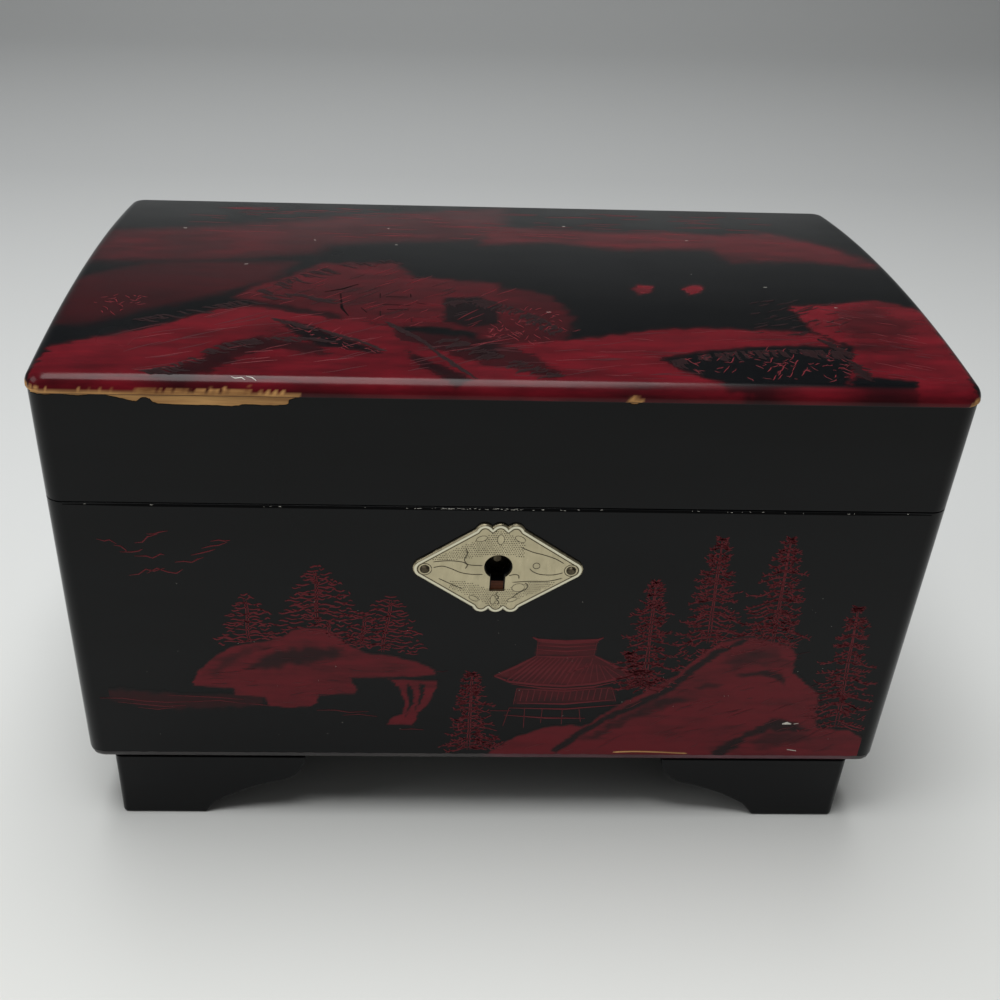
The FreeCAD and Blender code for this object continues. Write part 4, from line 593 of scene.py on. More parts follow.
# Engraved lines, in mm from the plate's middle
PLATE_LINES = [
    [(-16.9, 0.5), (-14.6, 1.0), (-12.4, 0.3), (-9.6, -1.0), (-6.6, -1.5), (-3.9, -1.5)],
    [(17.0, -0.7), (14.4, -1.4), (11.2, -1.3), (9.2, -0.5), (8.2, 0.5)],
    [(-17.0, 2.3), (-13.2, 2.7), (-9.6, 2.4), (-7.6, 1.5), (-4.1, 1.3)],
    [(-8.7, 6.8), (-8.2, 5.0), (-8.9, 3.0), (-8.1, 1.4), (-8.6, 0.3)],
    [(3.9, -3.9), (8.6, -3.5), (13.4, -3.4), (17.0, -2.4)],
    [(5.4, 7.2), (8.6, 5.7), (11.4, 4.9), (14.6, 3.7), (17.0, 2.2)],
    [(7.3, -4.0), (8.1, -5.0), (7.4, -6.2), (5.6, -7.4), (4.2, -8.8)],
    [(-15.4, -2.9), (-12.6, -4.4), (-9.0, -6.2)],
    [(2.9, -1.8), (4.4, -1.4), (5.4, -1.7), (5.6, -2.7)],
    [(0.3, -7.1), (-0.2, -7.9), (0.6, -8.6), (0.1, -9.6), (0.8, -10.3), (0.4, -11.2)],
]
# Petals left bare in the stipple: middle, half width, half height and lean
PETALS = [
    (-4.7, 9.6, 1.5, 0.8, 0.35),
    (0.2, 9.4, 0.9, 1.5, 0.0),
    (5.2, 9.6, 1.5, 0.8, -0.5),
    (-6.0, -9.2, 1.4, 0.7, -0.5),
    (-0.9, -9.6, 0.7, 1.5, 0.0),
    (4.2, -9.5, 1.4, 0.6, 0.4),
    (5.6, -5.6, 1.7, 1.3, 0.2),
]


def plate_outline(inset):
    """The outer edge of the plate's front face, drawn in by a distance, in mm from its middle."""
    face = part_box("keyhole_plate")[0].y
    bm = whole("keyhole_plate")
    spots = {(round(vert.co.x / MM, 3), round(vert.co.z / MM - PLATE_MIDDLE, 3))
             for vert in bm.verts if vert.co.y < face + 0.01 * MM}
    bm.free()
    edge = [(x, z) for x, z in spots if not (abs(x) < 4.2 and abs(z) < 10)
            and min(math.hypot(x - middle, z) for middle in PIN_PLACES) > 2]
    edge.sort(key=lambda spot: math.atan2(spot[1], spot[0]))
    moved = []
    for before, (x, z), after in zip(edge[-1:] + edge[:-1], edge, edge[1:] + edge[:1]):
        along = Vector((after[0] - before[0], after[1] - before[1]))
        along.normalize()
        moved.append((x - along.y * inset, z + along.x * inset))
    return moved + moved[:1]


def stippled(x, z):
    """Whether a dot belongs at this place on the plate."""
    rim = 12.4 - 0.53 * abs(x)
    upper = z > 2.9 + 1.9 * math.exp(-(x / 7) ** 2) and -17.5 < x < 6.5
    lower = z < -3.4 - 3.0 * math.exp(-(x / 6) ** 2) and -12.5 < x < 15.0
    if abs(z) > rim or not (upper or lower):
        return False
    for px, pz, wide, tall, lean in PETALS:
        dx, dz = x - px, z - pz
        across = dx * math.cos(lean) + dz * math.sin(lean)
        up = dz * math.cos(lean) - dx * math.sin(lean)
        if (across / wide) ** 2 + (up / tall) ** 2 < 1:
            return False
    return True


def oval(x, z, wide, tall, lean, count):
    """Points round a leaning oval."""
    return [(x + wide * math.cos(a) * math.cos(lean) - tall * math.sin(a) * math.sin(lean),
             z + wide * math.cos(a) * math.sin(lean) + tall * math.sin(a) * math.cos(lean))
            for a in np.linspace(0, 2 * math.pi, count)]


DOT_STEP, DOT_ROW = 0.6, 0.58


def build_plate_engraving():
    """A line inside the rim, waves and petals, stippled ground, rings round the pins and a bright rim."""
    lines, dots, rim = bmesh.new(), bmesh.new(), bmesh.new()
    out = (0, -1, 0)

    def line(points, width, lift=0.004):
        ribbon_into(lines, engraved(points), width * MM, out, lift * MM, 0.008 * MM)

    line(plate_outline(0.85), 0.26)
    for wave in PLATE_LINES:
        line(smooth_line(wave, 5), 0.27)
    for petal in PETALS:
        line(oval(*petal, 15), 0.17)
    for x, z, radius, width in PLATE_RINGS:
        line(oval(x, z, radius, radius, 0.0, 21), width, 0.006)
    for row in range(42):
        for column in range(68):
            x = -20 + DOT_STEP * column + DOT_STEP / 2 * (row % 2) + rng.uniform(-0.06, 0.06)
            z = -12 + DOT_ROW * row + rng.uniform(-0.06, 0.06)
            if stippled(x, z):
                size = rng.uniform(0.12, 0.16)
                ribbon_into(dots, engraved([(x - size, z), (x + size, z)]), 1.8 * size * MM, out,
                            0.003 * MM, 0.006 * MM, 1.0)
    ribbon_into(rim, engraved(plate_outline(0.32)), 0.55 * MM, out, 0.003 * MM, 0.006 * MM, 1.0)
    for name, bm, finish in (("plate_lines", lines, "groove"), ("plate_stipple", dots, "groove"),
                             ("plate_rim", rim, "polished")):
        mesh_object(name, bm, FINISHES[finish], "case", 60)


def smooth_line(points, steps):
    """More points along a chain, on a smooth curve through all of them."""
    points = [Vector((*point, 0)) for point in points]
    line = []
    for number in range(len(points) - 1):
        a, b = points[max(number - 1, 0)], points[number]
        c, d = points[number + 1], points[min(number + 2, len(points) - 1)]
        for step in range(steps):
            t = step / steps
            spot = 0.5 * ((2 * b) + (c - a) * t + (2 * a - 5 * b + 4 * c - d) * t * t
                          + (3 * b - a - 3 * c + d) * t * t * t)
            line.append((spot.x, spot.y))
    line.append((points[-1].x, points[-1].y))
    return line


def build_lining():
    """The velvet lining and partitions, and the plain wood under them."""
    for node in ("lining_front", "lining_back", "lining_left", "lining_right", "lining_floor",
                 "long_partition", "short_partition"):
        finished(node, FINISHES["velvet"], 0.5, 3)
    for node in ("ring_roll_base", "glass_cleats", "lid_pusher"):
        finished(node, FINISHES["plywood"], 0.15)
    finished("lid_backing_board", FINISHES["velvet"], 0.2)


ROLLS = ("ring_roll_1", "ring_roll_2", "ring_roll_3", "ring_roll_4")
ROLL_SWELL = 0.55 * MM
CLOTH_STEPS = 14


def build_rolls():
    """The four stuffed rolls: each starts a little smaller than its solid and is blown up as cloth."""
    for node in ROLLS:
        low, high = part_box(node)
        middle = (low + high) / 2
        bm = whole(node)
        for vert in bm.verts:
            for axis in range(3):
                off = vert.co[axis] - middle[axis]
                size = (high[axis] - low[axis]) / 2
                if not (axis == 2 and off < 0):
                    vert.co[axis] = middle[axis] + off * (size - ROLL_SWELL) / size
        made = mesh_object(node + "_stuffed", bm, FINISHES["roll"], "case", 180)
        bpy.context.view_layer.objects.active = made
        remesh = made.modifiers.new("remesh", "REMESH")
        remesh.mode = "VOXEL"
        remesh.voxel_size = 0.9 * MM
        bpy.ops.object.modifier_apply(modifier="remesh")
        blow_up(made, low, high)
        made.data.shade_smooth()
        finer = made.modifiers.new("finer", "SUBSURF")
        finer.levels = finer.render_levels = 1
        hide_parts(node)


def places(mesh):
    """A mesh's points, one to a row."""
    flat = np.empty(len(mesh.vertices) * 3)
    mesh.vertices.foreach_get("co", flat)
    return flat.reshape(-1, 3)


def blow_up(made, low, high):
    """Blows a piece up as cloth, and keeps every point inside its solid's box."""
    mesh = made.data
    before = places(mesh)
    cloth = made.modifiers.new("stuffing", "CLOTH")
    settings = cloth.settings
    settings.quality = 5
    settings.mass = 0.15
    settings.use_pressure = True
    settings.uniform_pressure_force = 4
    settings.effector_weights.gravity = 0
    settings.tension_stiffness = settings.compression_stiffness = 12
    cloth.point_cache.frame_end = CLOTH_STEPS
    for step in range(1, CLOTH_STEPS + 1):
        bpy.context.scene.frame_set(step)
    after = places(made.evaluated_get(bpy.context.evaluated_depsgraph_get()).data)
    if len(after) != len(before) or not np.isfinite(after).all():
        raise RuntimeError("the cloth of %s didn't finish" % made.name)
    push = after - before
    length = np.maximum(np.linalg.norm(push, axis=1, keepdims=True), 1e-12)
    push *= np.minimum(1, 1.2 * ROLL_SWELL / length)
    pucker = np.array([roughly(point, 260.0) for point in before])[:, None] * 0.12 * MM
    settled = before + push + pucker * push / length
    settled = np.clip(settled, np.array(low) + 0.02 * MM, np.array(high) - 0.02 * MM)
    made.modifiers.remove(cloth)
    mesh.vertices.foreach_set("co", settled.ravel())
    mesh.update()
    bpy.context.scene.frame_set(1)


def build_mirror():
    """The mirror, its gilt frame and the glass over the movement."""
    finished("mirror", FINISHES["mirror"], 0.15)
    finished("mirror_frame", FINISHES["gilt"], 0.3)
    finished("glass_cover", FINISHES["glass"], 0.1)


def build_movement():
    """The musical movement's cast, brass and steel parts, and the stop rod."""
    for node in ("movement_bedplate", "governor_bracket"):
        finished(node, FINISHES["cast"], 0.2)
    for node in ("spring_housing", "spring_gear", "cylinder", "cylinder_arbor", "cylinder_brackets",
                 "governor_wheel"):
        finished(node, FINISHES["brass"], 0.08)
    finished("comb", FINISHES["comb_steel"], 0.05)
    for node in ("movement_screws", "winding_arbor", "winding_key", "governor_fan", "stop_rod",
                 "stop_rod_guide"):
        finished(node, FINISHES["steel"], FITTING_EDGE)
    finished("stop_rod_spring", FINISHES["comb_steel"], 0)


AXIS_Y, AXIS_Z = 26.0 * MM, 50.2802 * MM
COMB_TEETH, COMB_PITCH, FIRST_TOOTH = 18, 1.4, 0.7
PINS_TO_A_TOOTH, LEAST_TURN = 15, 0.18
WORM_RADIUS, WORM_PITCH, WORM_STEPS = 0.78, 1.2566, 12


def build_tune_pins():
    """Short steel pins on the cylinder, in a row for each tooth of the comb."""
    low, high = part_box("cylinder")
    radius = (high.z - low.z) / 2
    comb_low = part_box("comb")[0].x
    pins = bmesh.new()
    for tooth in range(COMB_TEETH):
        x = comb_low + (FIRST_TOOTH + tooth * COMB_PITCH) * MM
        turns = np.sort(rng.uniform(0, 2 * math.pi, PINS_TO_A_TOOTH))
        for turn in turns[np.append(True, np.diff(turns) > LEAST_TURN)]:
            out = Vector((0, math.cos(turn), math.sin(turn)))
            # At rest no pin stands at the comb's tips
            if out.y < -0.9:
                continue
            foot = Vector((x, AXIS_Y, AXIS_Z)) + out * (radius - 0.05 * MM)
            tube_into(pins, [foot, foot + out * 0.4 * MM], 0.14 * MM, 5)
    mesh_object("cylinder_tune_pins", pins, FINISHES["steel"], "cylinder", 60)


def build_worm():
    """The thread on the fan's spindle that the governor wheel turns."""
    worm = bmesh.new()
    spindle = (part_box("governor_fan")[0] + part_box("governor_fan")[1]) / 2
    thread = []
    for step in range(-21, 22):
        turn = 2 * math.pi * (step + 21) / WORM_STEPS
        out = Vector((math.cos(turn), math.sin(turn), 0)) * WORM_RADIUS * MM
        thread.append((spindle.x + out.x, spindle.y + out.y, AXIS_Z + step / WORM_STEPS * WORM_PITCH * MM))
    tube_into(worm, thread, 0.16 * MM, 6, 0.3)
    mesh_object("fan_worm_thread", worm, FINISHES["steel"], "fan", 60)


def build_movement_details():
    """The cylinder's tune pins, the fan's worm thread, and the slots of the screws."""
    build_tune_pins()
    build_worm()
    slots = bmesh.new()
    for node in ("movement_screws", "case_screws"):
        for low, high in solids_of(node):
            middle = (low + high) / 2
            reach = (high.x - low.x) * 0.42
            turn = rng.uniform(0, math.pi)
            side = Vector((math.cos(turn) * reach, math.sin(turn) * reach, 0))
            top = Vector((middle.x, middle.y, high.z))
            # The slots are dark strips laid on the heads: painted shade where a cut slot would be
            ribbon_into(slots, [top - side, top + side], 0.32 * MM, (0, 0, 1), 0.005 * MM, 0.01 * MM, 1.0)
    mesh_object("screw_slots", slots, FINISHES["dark"], "case", 60)


def solids_of(node):
    """The box of each separate solid in a CAD node, in the order of its first point."""
    bm = whole(node)
    seen, boxes = set(), []
    for start in bm.verts:
        if start in seen:
            continue
        seen.add(start)
        grown, edge = [], [start]
        while edge:
            vert = edge.pop()
            grown.append(vert.co[:])
            for link in vert.link_edges:
                other = link.other_vert(vert)
                if other not in seen:
                    seen.add(other)
                    edge.append(other)
        co = np.array(grown)
        boxes.append((Vector(co.min(0)), Vector(co.max(0))))
    bm.free()
    return boxes


# The lid's top and its painting
LID_CORNER, LID_ROLL, LID_RISE, LID_PANEL = 5.4 * MM, 3.6 * MM, 4.0 * MM, 4.0 * MM
LID_GAP = 0.05 * MM
# How strongly the mesh's lines crowd towards the lid's edges, and how far its underside is drawn in
LID_CROWD, LID_UNDER = 1.35, 0.998
# Places where the lacquer is worn to the wood: x from and to, and how far up the rolled edge, in mm
LID_CHIPS = [
    (-116, -110, 1.2),
    (-112, -88, 0.8),
    (-90, -60, 1.3),
    (-62, -50, 1.0),
    (28.0, 32.5, 1.2),
    (111.5, 115, 1.3),
]
# The lower edge of the bare strip on the front rail, x and depth under the lid's top
RAIL_CHIP = [(-113, 0.5), (-110, 1.1), (-106, 0.9), (-102, 1.2), (-97, 0.9), (-93, 1.5), (-90, 2.3),
             (-88.5, 2.5), (-87, 1.5), (-85.5, 1.7), (-84, 2.9), (-80, 3.2), (-72, 3.3), (-66, 3.4),
             (-62, 2.9), (-57, 3.1), (-54, 2.9), (-52.6, 2.6), (-52.2, 1.6), (-50, 0.7)]
SMALL_CHIP = [(28.2, 0.3), (29.0, 1.0), (30.2, 1.3), (31.4, 0.9), (32.4, 0.2)]
# Pale cracks in a dent on the lid's front edge, drawn as painted highlight, x and y, and the bare line at the
# foot of the front, x and z
LID_CRACK_HIGHLIGHTS = [[(-66, -66.4), (-65.0, -66.8), (-63.5, -66.6), (-62.6, -67.2)],
              [(-62.4, -66.2), (-61.0, -66.6), (-60.0, -67.3)]]
FOOT_WEAR = [(37.2, 26.9), (43.0, 27.2), (49.0, 27.1), (55.0, 26.8), (59.0, 26.6)]


def lid_crown(y, high):
    """Height of the arch without the rolled edge, in metres."""
    radius = ((high.y - 0.4 * MM) ** 2 + LID_RISE ** 2) / (2 * LID_RISE)
    return high.z - LID_GAP - (radius - np.sqrt(radius ** 2 - y ** 2))


def lid_height(x, y, high):
    """Height of the lid's outside and the distance up its rolled edge, for arrays in metres."""
    off_x, off_y = np.abs(x) - (high.x - LID_CORNER), np.abs(y) - (high.y - LID_CORNER)
    inside = LID_CORNER - (np.hypot(np.maximum(off_x, 0), np.maximum(off_y, 0))
                           + np.minimum(np.maximum(off_x, off_y), 0))
    under = np.clip(LID_ROLL - inside, 0, LID_ROLL)
    drop = LID_ROLL - np.sqrt(LID_ROLL ** 2 - under ** 2)
    return lid_crown(y, high) - drop, np.hypot(inside, LID_ROLL - drop)


def lid_plan(flat, high):
    """Moves an even grid of places from -1 to 1 to the lid's plan with its round corners, in metres."""
    crowded = np.sign(flat) * (1 - np.maximum(1 - np.abs(flat), 0) ** LID_CROWD)
    x, y = crowded[:, 0] * high.x, crowded[:, 1] * high.y
    over_x = np.maximum(np.abs(x) - (high.x - LID_CORNER), 0)
    over_y = np.maximum(np.abs(y) - (high.y - LID_CORNER), 0)
    reach = np.hypot(over_x, over_y)
    draw = np.where(reach > 1e-12, np.maximum(over_x, over_y) / np.maximum(reach, 1e-12), 1.0)
    x = np.sign(x) * (np.minimum(np.abs(x), high.x - LID_CORNER) + over_x * draw)
    y = np.sign(y) * (np.minimum(np.abs(y), high.y - LID_CORNER) + over_y * draw)
    return x, y


def close_lid(bm, high):
    """Draws the open edge of the lid's top down to its underside, and closes that in strips."""
    rim = bmesh.ops.extrude_edge_only(bm, edges=[edge for edge in bm.edges if edge.is_boundary])["geom"]
    lower = [item for item in rim if isinstance(item, bmesh.types.BMVert)]
    ends = {}
    for vert in lower:
        # Points on the short sides lie further out in x than in y
        if abs(vert.co.x) - high.x > abs(vert.co.y) - high.y + 0.01 * MM:
            ends.setdefault(round(vert.co.y / (0.001 * MM)), []).append(vert)
        floor = lid_crown(vert.co.y, high) - LID_PANEL + LID_GAP
        vert.co = (vert.co.x * LID_UNDER, vert.co.y * LID_UNDER, floor)
    base = [item for item in rim if isinstance(item, bmesh.types.BMEdge) and item.is_boundary]
    bmesh.ops.edgeloop_fill(bm, edges=base)
    for pair in ends.values():
        if len(pair) == 2 and not bm.edges.get(pair):
            face = next(face for face in pair[0].link_faces if face in pair[1].link_faces)
            bmesh.utils.face_split(face, *pair)


def build_lid():
    """The arched top as one fine mesh, with paint and wear strengths at each point for the lacquer."""
    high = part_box("lid_top_panel")[1]
    across, deep = ((300, 180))
    bm = bmesh.new()
    bmesh.ops.create_grid(bm, x_segments=across - 1, y_segments=deep - 1, size=1)
    x, y = lid_plan(np.array([vert.co[:2] for vert in bm.verts]), high)
    z, climb = lid_height(x, y, high)
    for vert, place in zip(bm.verts, zip(x, y, z)):
        vert.co = place
    close_lid(bm, high)
    strength = wash(x / MM, y / MM, LID_WASHES)
    fade = np.clip((climb - 2.2 * MM) / (1.5 * MM), 0, 1)
    front = np.clip((-y - 62 * MM) / (3 * MM), 0, 1) * np.clip((high.x - np.abs(x)) / (2 * MM), 0, 1)
    strength *= np.maximum(fade, front)
    lip = np.clip((-y - 66.2 * MM) / MM, 0, 1) * front
    strength = np.maximum(strength, 0.72 * lip * (0.8 + 0.4 * np.sin(x * 190)))
    carry(bm, strength)
    carry(bm, chipped(x, y, climb), "worn")
    made = mesh_object("lid_top_painted", bm, FINISHES["lacquer"], "lid", 60)
    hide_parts("lid_top_panel")


def wear_rail():
    """Bare wood where the lacquer has come off the lid's front rail, with pale cracks over it."""
    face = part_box("lid_front_rail")[0].y - 0.02 * MM
    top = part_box("lid_front_rail")[1].z - LID_GAP
    bm, edges, pale = bmesh.new(), bmesh.new(), bmesh.new()
    for patch in (RAIL_CHIP, SMALL_CHIP):
        fine = [(x, max(depth + 0.22 * roughly((x, 0, 0), 2.4), 0.12)) for x, depth in smooth_line(patch, 5)]
        rings = []
        for x, depth in fine:
            over, under = top - max(0.25 * roughly((x, 9, 0), 1.1), 0) * MM, top - depth * MM
            rings.append([bm.verts.new((x * MM, face + deep, height)) for deep, height in
                          ((0, over), (0, under), (0.1 * MM, under), (0.1 * MM, over))])
        join_rings(bm, rings)
        ribbon_into(edges, [(x * MM, face, top - (depth + 0.1) * MM) for x, depth in fine], 0.16 * MM,
                    (0, -1, 0), 0.01 * MM)
    # Painted highlight on the cracked edges of a dent
    for crack_highlight in LID_CRACK_HIGHLIGHTS:
        ribbon_into(pale, onto_lid(crack_highlight), 0.22 * MM, (0, -0.6, 0.8), 0.03 * MM)
    mesh_object("rail_bare_wood", bm, FINISHES["wood"], "lid", 30)
    mesh_object("rail_chip_shadow", edges, FINISHES["dark"], "lid", 60)
    mesh_object("lid_crack_highlights", pale, FINISHES["bright"], "lid", 60)


def seam_marks():
    """The dark line along the seam and small knocks on the case's top edge."""
    case_top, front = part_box("front_board")[1].z, FRONT_FACE - 0.02 * MM
    shadow, seam_flecks = bmesh.new(), bmesh.new()
    line = [(x * MM, FRONT_FACE, case_top - 0.55 * MM) for x in np.linspace(-110, 110, 12)]
    ribbon_into(shadow, line, 0.8 * MM, (0, -1, 0), 0.004 * MM, 0.01 * MM)
    # Small pale flecks along the case's top edge
    for number in range(64):
        x = rng.uniform(-108, 108) if number > 38 else rng.normal(-7, 9)
        size = rng.uniform(0.15, 0.7) * (1.8 if -14 < x < -9 or -1 < x < 3 else 1)
        z = case_top - 0.25 * MM - rng.uniform(0, 0.35) * MM
        ends = [(x * MM, front, z), ((x + size) * MM, front, z - rng.uniform(-0.1, 0.1) * MM)]
        ribbon_into(seam_flecks, ends, rng.uniform(0.14, 0.34) * MM, (0, -1, 0), 0.01 * MM)
    mesh_object("seam_shadow", shadow, FINISHES["dark"], "case", 60)
    mesh_object("seam_pale_flecks", seam_flecks, FINISHES["bright"], "case", 60)


def build_wear():
    """Wear on the lid's rail, the seam and the front's foot, and the wood seen in the keyhole."""
    wear_rail()
    seam_marks()
    wood, slot = bmesh.new(), bmesh.new()
    ribbon_into(wood, onto_front(smooth_line(FOOT_WEAR, 4)), 0.5 * MM, (0, -1, 0), 0.05 * MM)
    mesh_object("front_bare_wood", wood, FINISHES["wood"], "case", 30)
    box_into(slot, (-1.68 * MM, FRONT_FACE - 0.03 * MM, 84.85 * MM),
             (1.68 * MM, FRONT_FACE + 0.02 * MM, 87.5 * MM))
    mesh_object("keyhole_slot_wood", slot, FINISHES["keyhole_wood"], "case", 30)


def chipped(x, y, climb):
    """How bare the wood is at each point of the rolled front edge, with ragged outlines."""
    bare = np.zeros(x.shape)
    for index in np.nonzero((y < -60 * MM) & (climb < 6 * MM))[0]:
        across = x[index] / MM
        ragged = 1 + 0.75 * roughly((across, 0, 0), 0.9) + 0.5 * roughly((across, climb[index] / MM, 0), 2.3)
        for low, high, reach in LID_CHIPS:
            if low < across < high:
                share = min((across - low), (high - across), 1.5) / 1.5
                limit = reach * ragged * (0.35 + 0.65 * share)
                bare[index] = max(bare[index], min(max((limit - climb[index] / MM) / 0.25 + 0.5, 0), 1))
    return bare


def soft_area(px, py, corners, feather):
    """1 inside an outline, fading to 0 over the feather's width on both sides of its edge."""
    corners = np.array(corners)
    inside = np.zeros(px.shape, bool)
    nearest = np.full(px.shape, 1e9)
    for (ax, ay), (bx, by) in zip(corners, np.roll(corners, -1, axis=0)):
        crosses = (ay > py) != (by > py)
        with np.errstate(divide="ignore", invalid="ignore"):
            at = (bx - ax) * (py - ay) / (by - ay) + ax
        inside ^= crosses & (px < at)
        dx, dy = bx - ax, by - ay
        share = np.clip(((px - ax) * dx + (py - ay) * dy) / max(dx * dx + dy * dy, 1e-9), 0, 1)
        nearest = np.minimum(nearest, np.hypot(px - ax - share * dx, py - ay - share * dy))
    share = np.clip(0.5 + np.where(inside, nearest, -nearest) / (2 * feather), 0, 1)
    return share * share * (3 - 2 * share)


def wash(px, py, areas):
    """Paint strength at each point from soft areas: above 0 paints, below 0 takes paint away."""
    wobble_x = np.array([roughly((x, y, 0), 0.35) + 1.7 * roughly((0.22 * x, 1.5 * y, 7), 1.0)
                         for x, y in zip(px, py)])
    wobble_y = np.array([roughly((y, x, 3), 0.35) for x, y in zip(px, py)])
    strength = np.zeros(px.shape)
    for level, feather, corners in areas:
        blur = min(feather, 1.2)
        share = soft_area(px + wobble_x * blur, py + wobble_y * blur, corners, feather)
        if level > 0:
            strength = np.maximum(strength, level * share)
        else:
            strength = strength * (1 + level * share)
    return strength


# The painting, in mm. Outlines of the painted ground on the front, x and z
ISLAND = [(-82.6, 52.2), (-80.4, 56.2), (-76.1, 60.9), (-70.6, 64.8), (-62.6, 66.5), (-56.7, 68.1),
          (-54.6, 70.3), (-50.7, 71.4), (-45.5, 71.0), (-42.2, 68.5), (-38.3, 65.0), (-34.3, 62.9),
          (-26.3, 61.7), (-20.2, 59.8), (-16.1, 57.6), (-14.9, 55.8), (-19.4, 54.9), (-28.9, 54.5),
          (-38.9, 54.0), (-36.9, 49.8), (-37.7, 48.5), (-47.9, 48.0), (-48.3, 44.8), (-51.4, 43.4),
          (-56.2, 43.0), (-61.6, 43.9), (-62.9, 46.9), (-71.0, 47.4), (-71.5, 50.1), (-76.8, 50.5),
          (-82.2, 50.9)]
HILL = [(-0.2, 25.3), (7.1, 31.8), (16.2, 36.1), (23.8, 37.3), (27.3, 36.7), (36.6, 44.6), (45.9, 51.5),
        (51.9, 56.1), (56.8, 62.5), (62.5, 67.7), (69.5, 69.8), (76.4, 68.4), (81.7, 66.6), (84.0, 63.5),
        (84.5, 57.1), (88.8, 53.3), (93.5, 49.5), (93.6, 42.8), (95.4, 36.9), (105.5, 35.8), (110.0, 32.3),
        (113.6, 26.1), (113.4, 24.7), (0.7, 24.2)]
# Soft areas on the front: strength, feather, outline. A negative strength takes paint away
FRONT_WASHES = [
    (0.66, 0.5, [(12.2, 62.4), (28.2, 62.7), (41.6, 55.9), (29.0, 52.5), (13.2, 52.1), (1.0, 55.2)]),
    (0.5, 0.5, [(7.6, 50.7), (34.3, 51.4), (35.9, 46.4), (7.0, 45.0)]),
    (0.6, 0.4, [(12.3, 68.0), (28.5, 68.1), (28.2, 62.9), (12.2, 62.6)]),
    (1.0, 0.35, ISLAND),
    (-0.75, 1.6, [(-67.1, 57.1), (-62.9, 60.6), (-58.2, 63.6), (-49.5, 64.9), (-40.9, 64.3), (-40.6, 62.9),
        (-44.3, 61.1), (-48.3, 59.6), (-55.7, 58.2), (-63.1, 57.1)]),
    (-0.45, 1.2, [(-79.2, 54.5), (-73.5, 60.5), (-66.7, 64.8), (-58.0, 67.0), (-61.4, 64.9), (-69.5, 60.6),
        (-75.9, 54.9)]),
    (1.0, 0.3, [(-28.2, 53.7), (-14.9, 53.2), (-14.8, 50.8), (-16.7, 45.4), (-20.1, 41.3), (-20.2, 38.5),
        (-21.3, 36.9), (-28.8, 37.1), (-27.0, 39.9), (-24.6, 41.1), (-23.6, 44.9), (-24.7, 49.4),
        (-26.5, 52.3)]),
    (-1.0, 0.3, [(-23.1, 52.5), (-21.3, 49.9), (-21.3, 44.9), (-23.5, 40.1), (-22.4, 44.9), (-23.2, 49.4)]),
    (-1.0, 0.3, [(-19.7, 52.3), (-18.3, 52.1), (-18.5, 47.6), (-20.8, 42.0), (-19.5, 47.6)]),
    (1.0, 0.4, HILL),
    (-0.9, 0.5, [(18.9, 27.1), (25.4, 34.4), (33.7, 40.9), (43.1, 47.1), (50.0, 52.1), (55.6, 59.1),
        (61.3, 64.9), (69.2, 69.4), (70.2, 68.6), (63.2, 63.9), (57.5, 58.0), (51.5, 50.4), (44.2, 45.1),
        (34.7, 39.5), (26.8, 32.6), (20.9, 26.5)]),
    (-0.6, 1.2, [(26.9, 31.8), (38.8, 40.4), (49.7, 48.2), (58.3, 47.7), (50.3, 44.4), (40.6, 39.8),
        (32.9, 32.4)]),
    (-0.8, 0.7, [(68.7, 56.3), (73.5, 57.2), (77.5, 58.3), (81.2, 56.5), (83.6, 53.0), (79.9, 54.7),
        (75.4, 56.4), (71.3, 55.5)]),
    (-0.6, 0.7, [(57.6, 52.0), (61.6, 53.1), (66.3, 52.9), (63.6, 51.6), (59.4, 51.1)]),
    (-0.85, 0.9, [(64.4, 25.4), (69.7, 30.7), (75.9, 35.4), (81.9, 40.2), (87.3, 39.2), (93.2, 36.0),
        (88.1, 35.4), (81.8, 36.0), (76.3, 33.1), (72.3, 28.4), (69.7, 25.4)]),
    (-0.5, 1.6, [(76.6, 31.3), (82.8, 35.4), (91.7, 34.8), (94.9, 31.9), (86.5, 30.2), (80.7, 28.4)]),
    (-0.45, 1.5, [(64.4, 61.2), (72.0, 65.5), (79.6, 64.5), (83.0, 60.3), (74.4, 61.3), (68.2, 58.6)]),
    (0.3, 1.0, [(-110.4, 49.4), (-101.1, 48.9), (-89.1, 47.8), (-77.0, 47.4), (-63.5, 46.9), (-63.7, 43.8),
        (-77.4, 42.9), (-89.6, 42.1), (-95.0, 42.6), (-101.5, 45.1), (-108.8, 46.2)]),
]
# Outlines on the lid, x and y
FAR_SLOPE = [(-64.8, -17.5), (-55.4, -9.4), (-48.7, -0.1), (-27.4, 1.6), (-22.4, -9.4), (1.1, -12.6),
             (-1.5, -44.4), (-16.0, -40.6), (-26.2, -41.0), (-37.9, -38.8), (-49.9, -34.7), (-62.2, -29.6),
             (-70.6, -25.1)]
NEAR_HILLS = [(-114.1, -69.0), (-113.0, -61.6), (-111.2, -53.7), (-101.9, -48.8), (-85.9, -40.9),
              (-74.4, -33.4), (-62.2, -29.0), (-49.9, -34.2), (-39.6, -37.1), (-22.3, -43.5), (-1.8, -47.8),
              (-4.3, -80.8), (-57.8, -82.3), (-110.5, -83.8)]
BANKS = [(-6.9, -49.7), (14.7, -47.1), (28.6, -43.2), (41.1, -39.7), (53.3, -38.6), (66.8, -39.4),
         (78.8, -39.7), (85.8, -47.6), (71.5, -47.4), (55.8, -49.8), (38.1, -55.0), (43.3, -61.5),
         (51.8, -66.4), (61.9, -70.4), (75.7, -74.5), (73.4, -81.8), (-9.1, -84.1)]
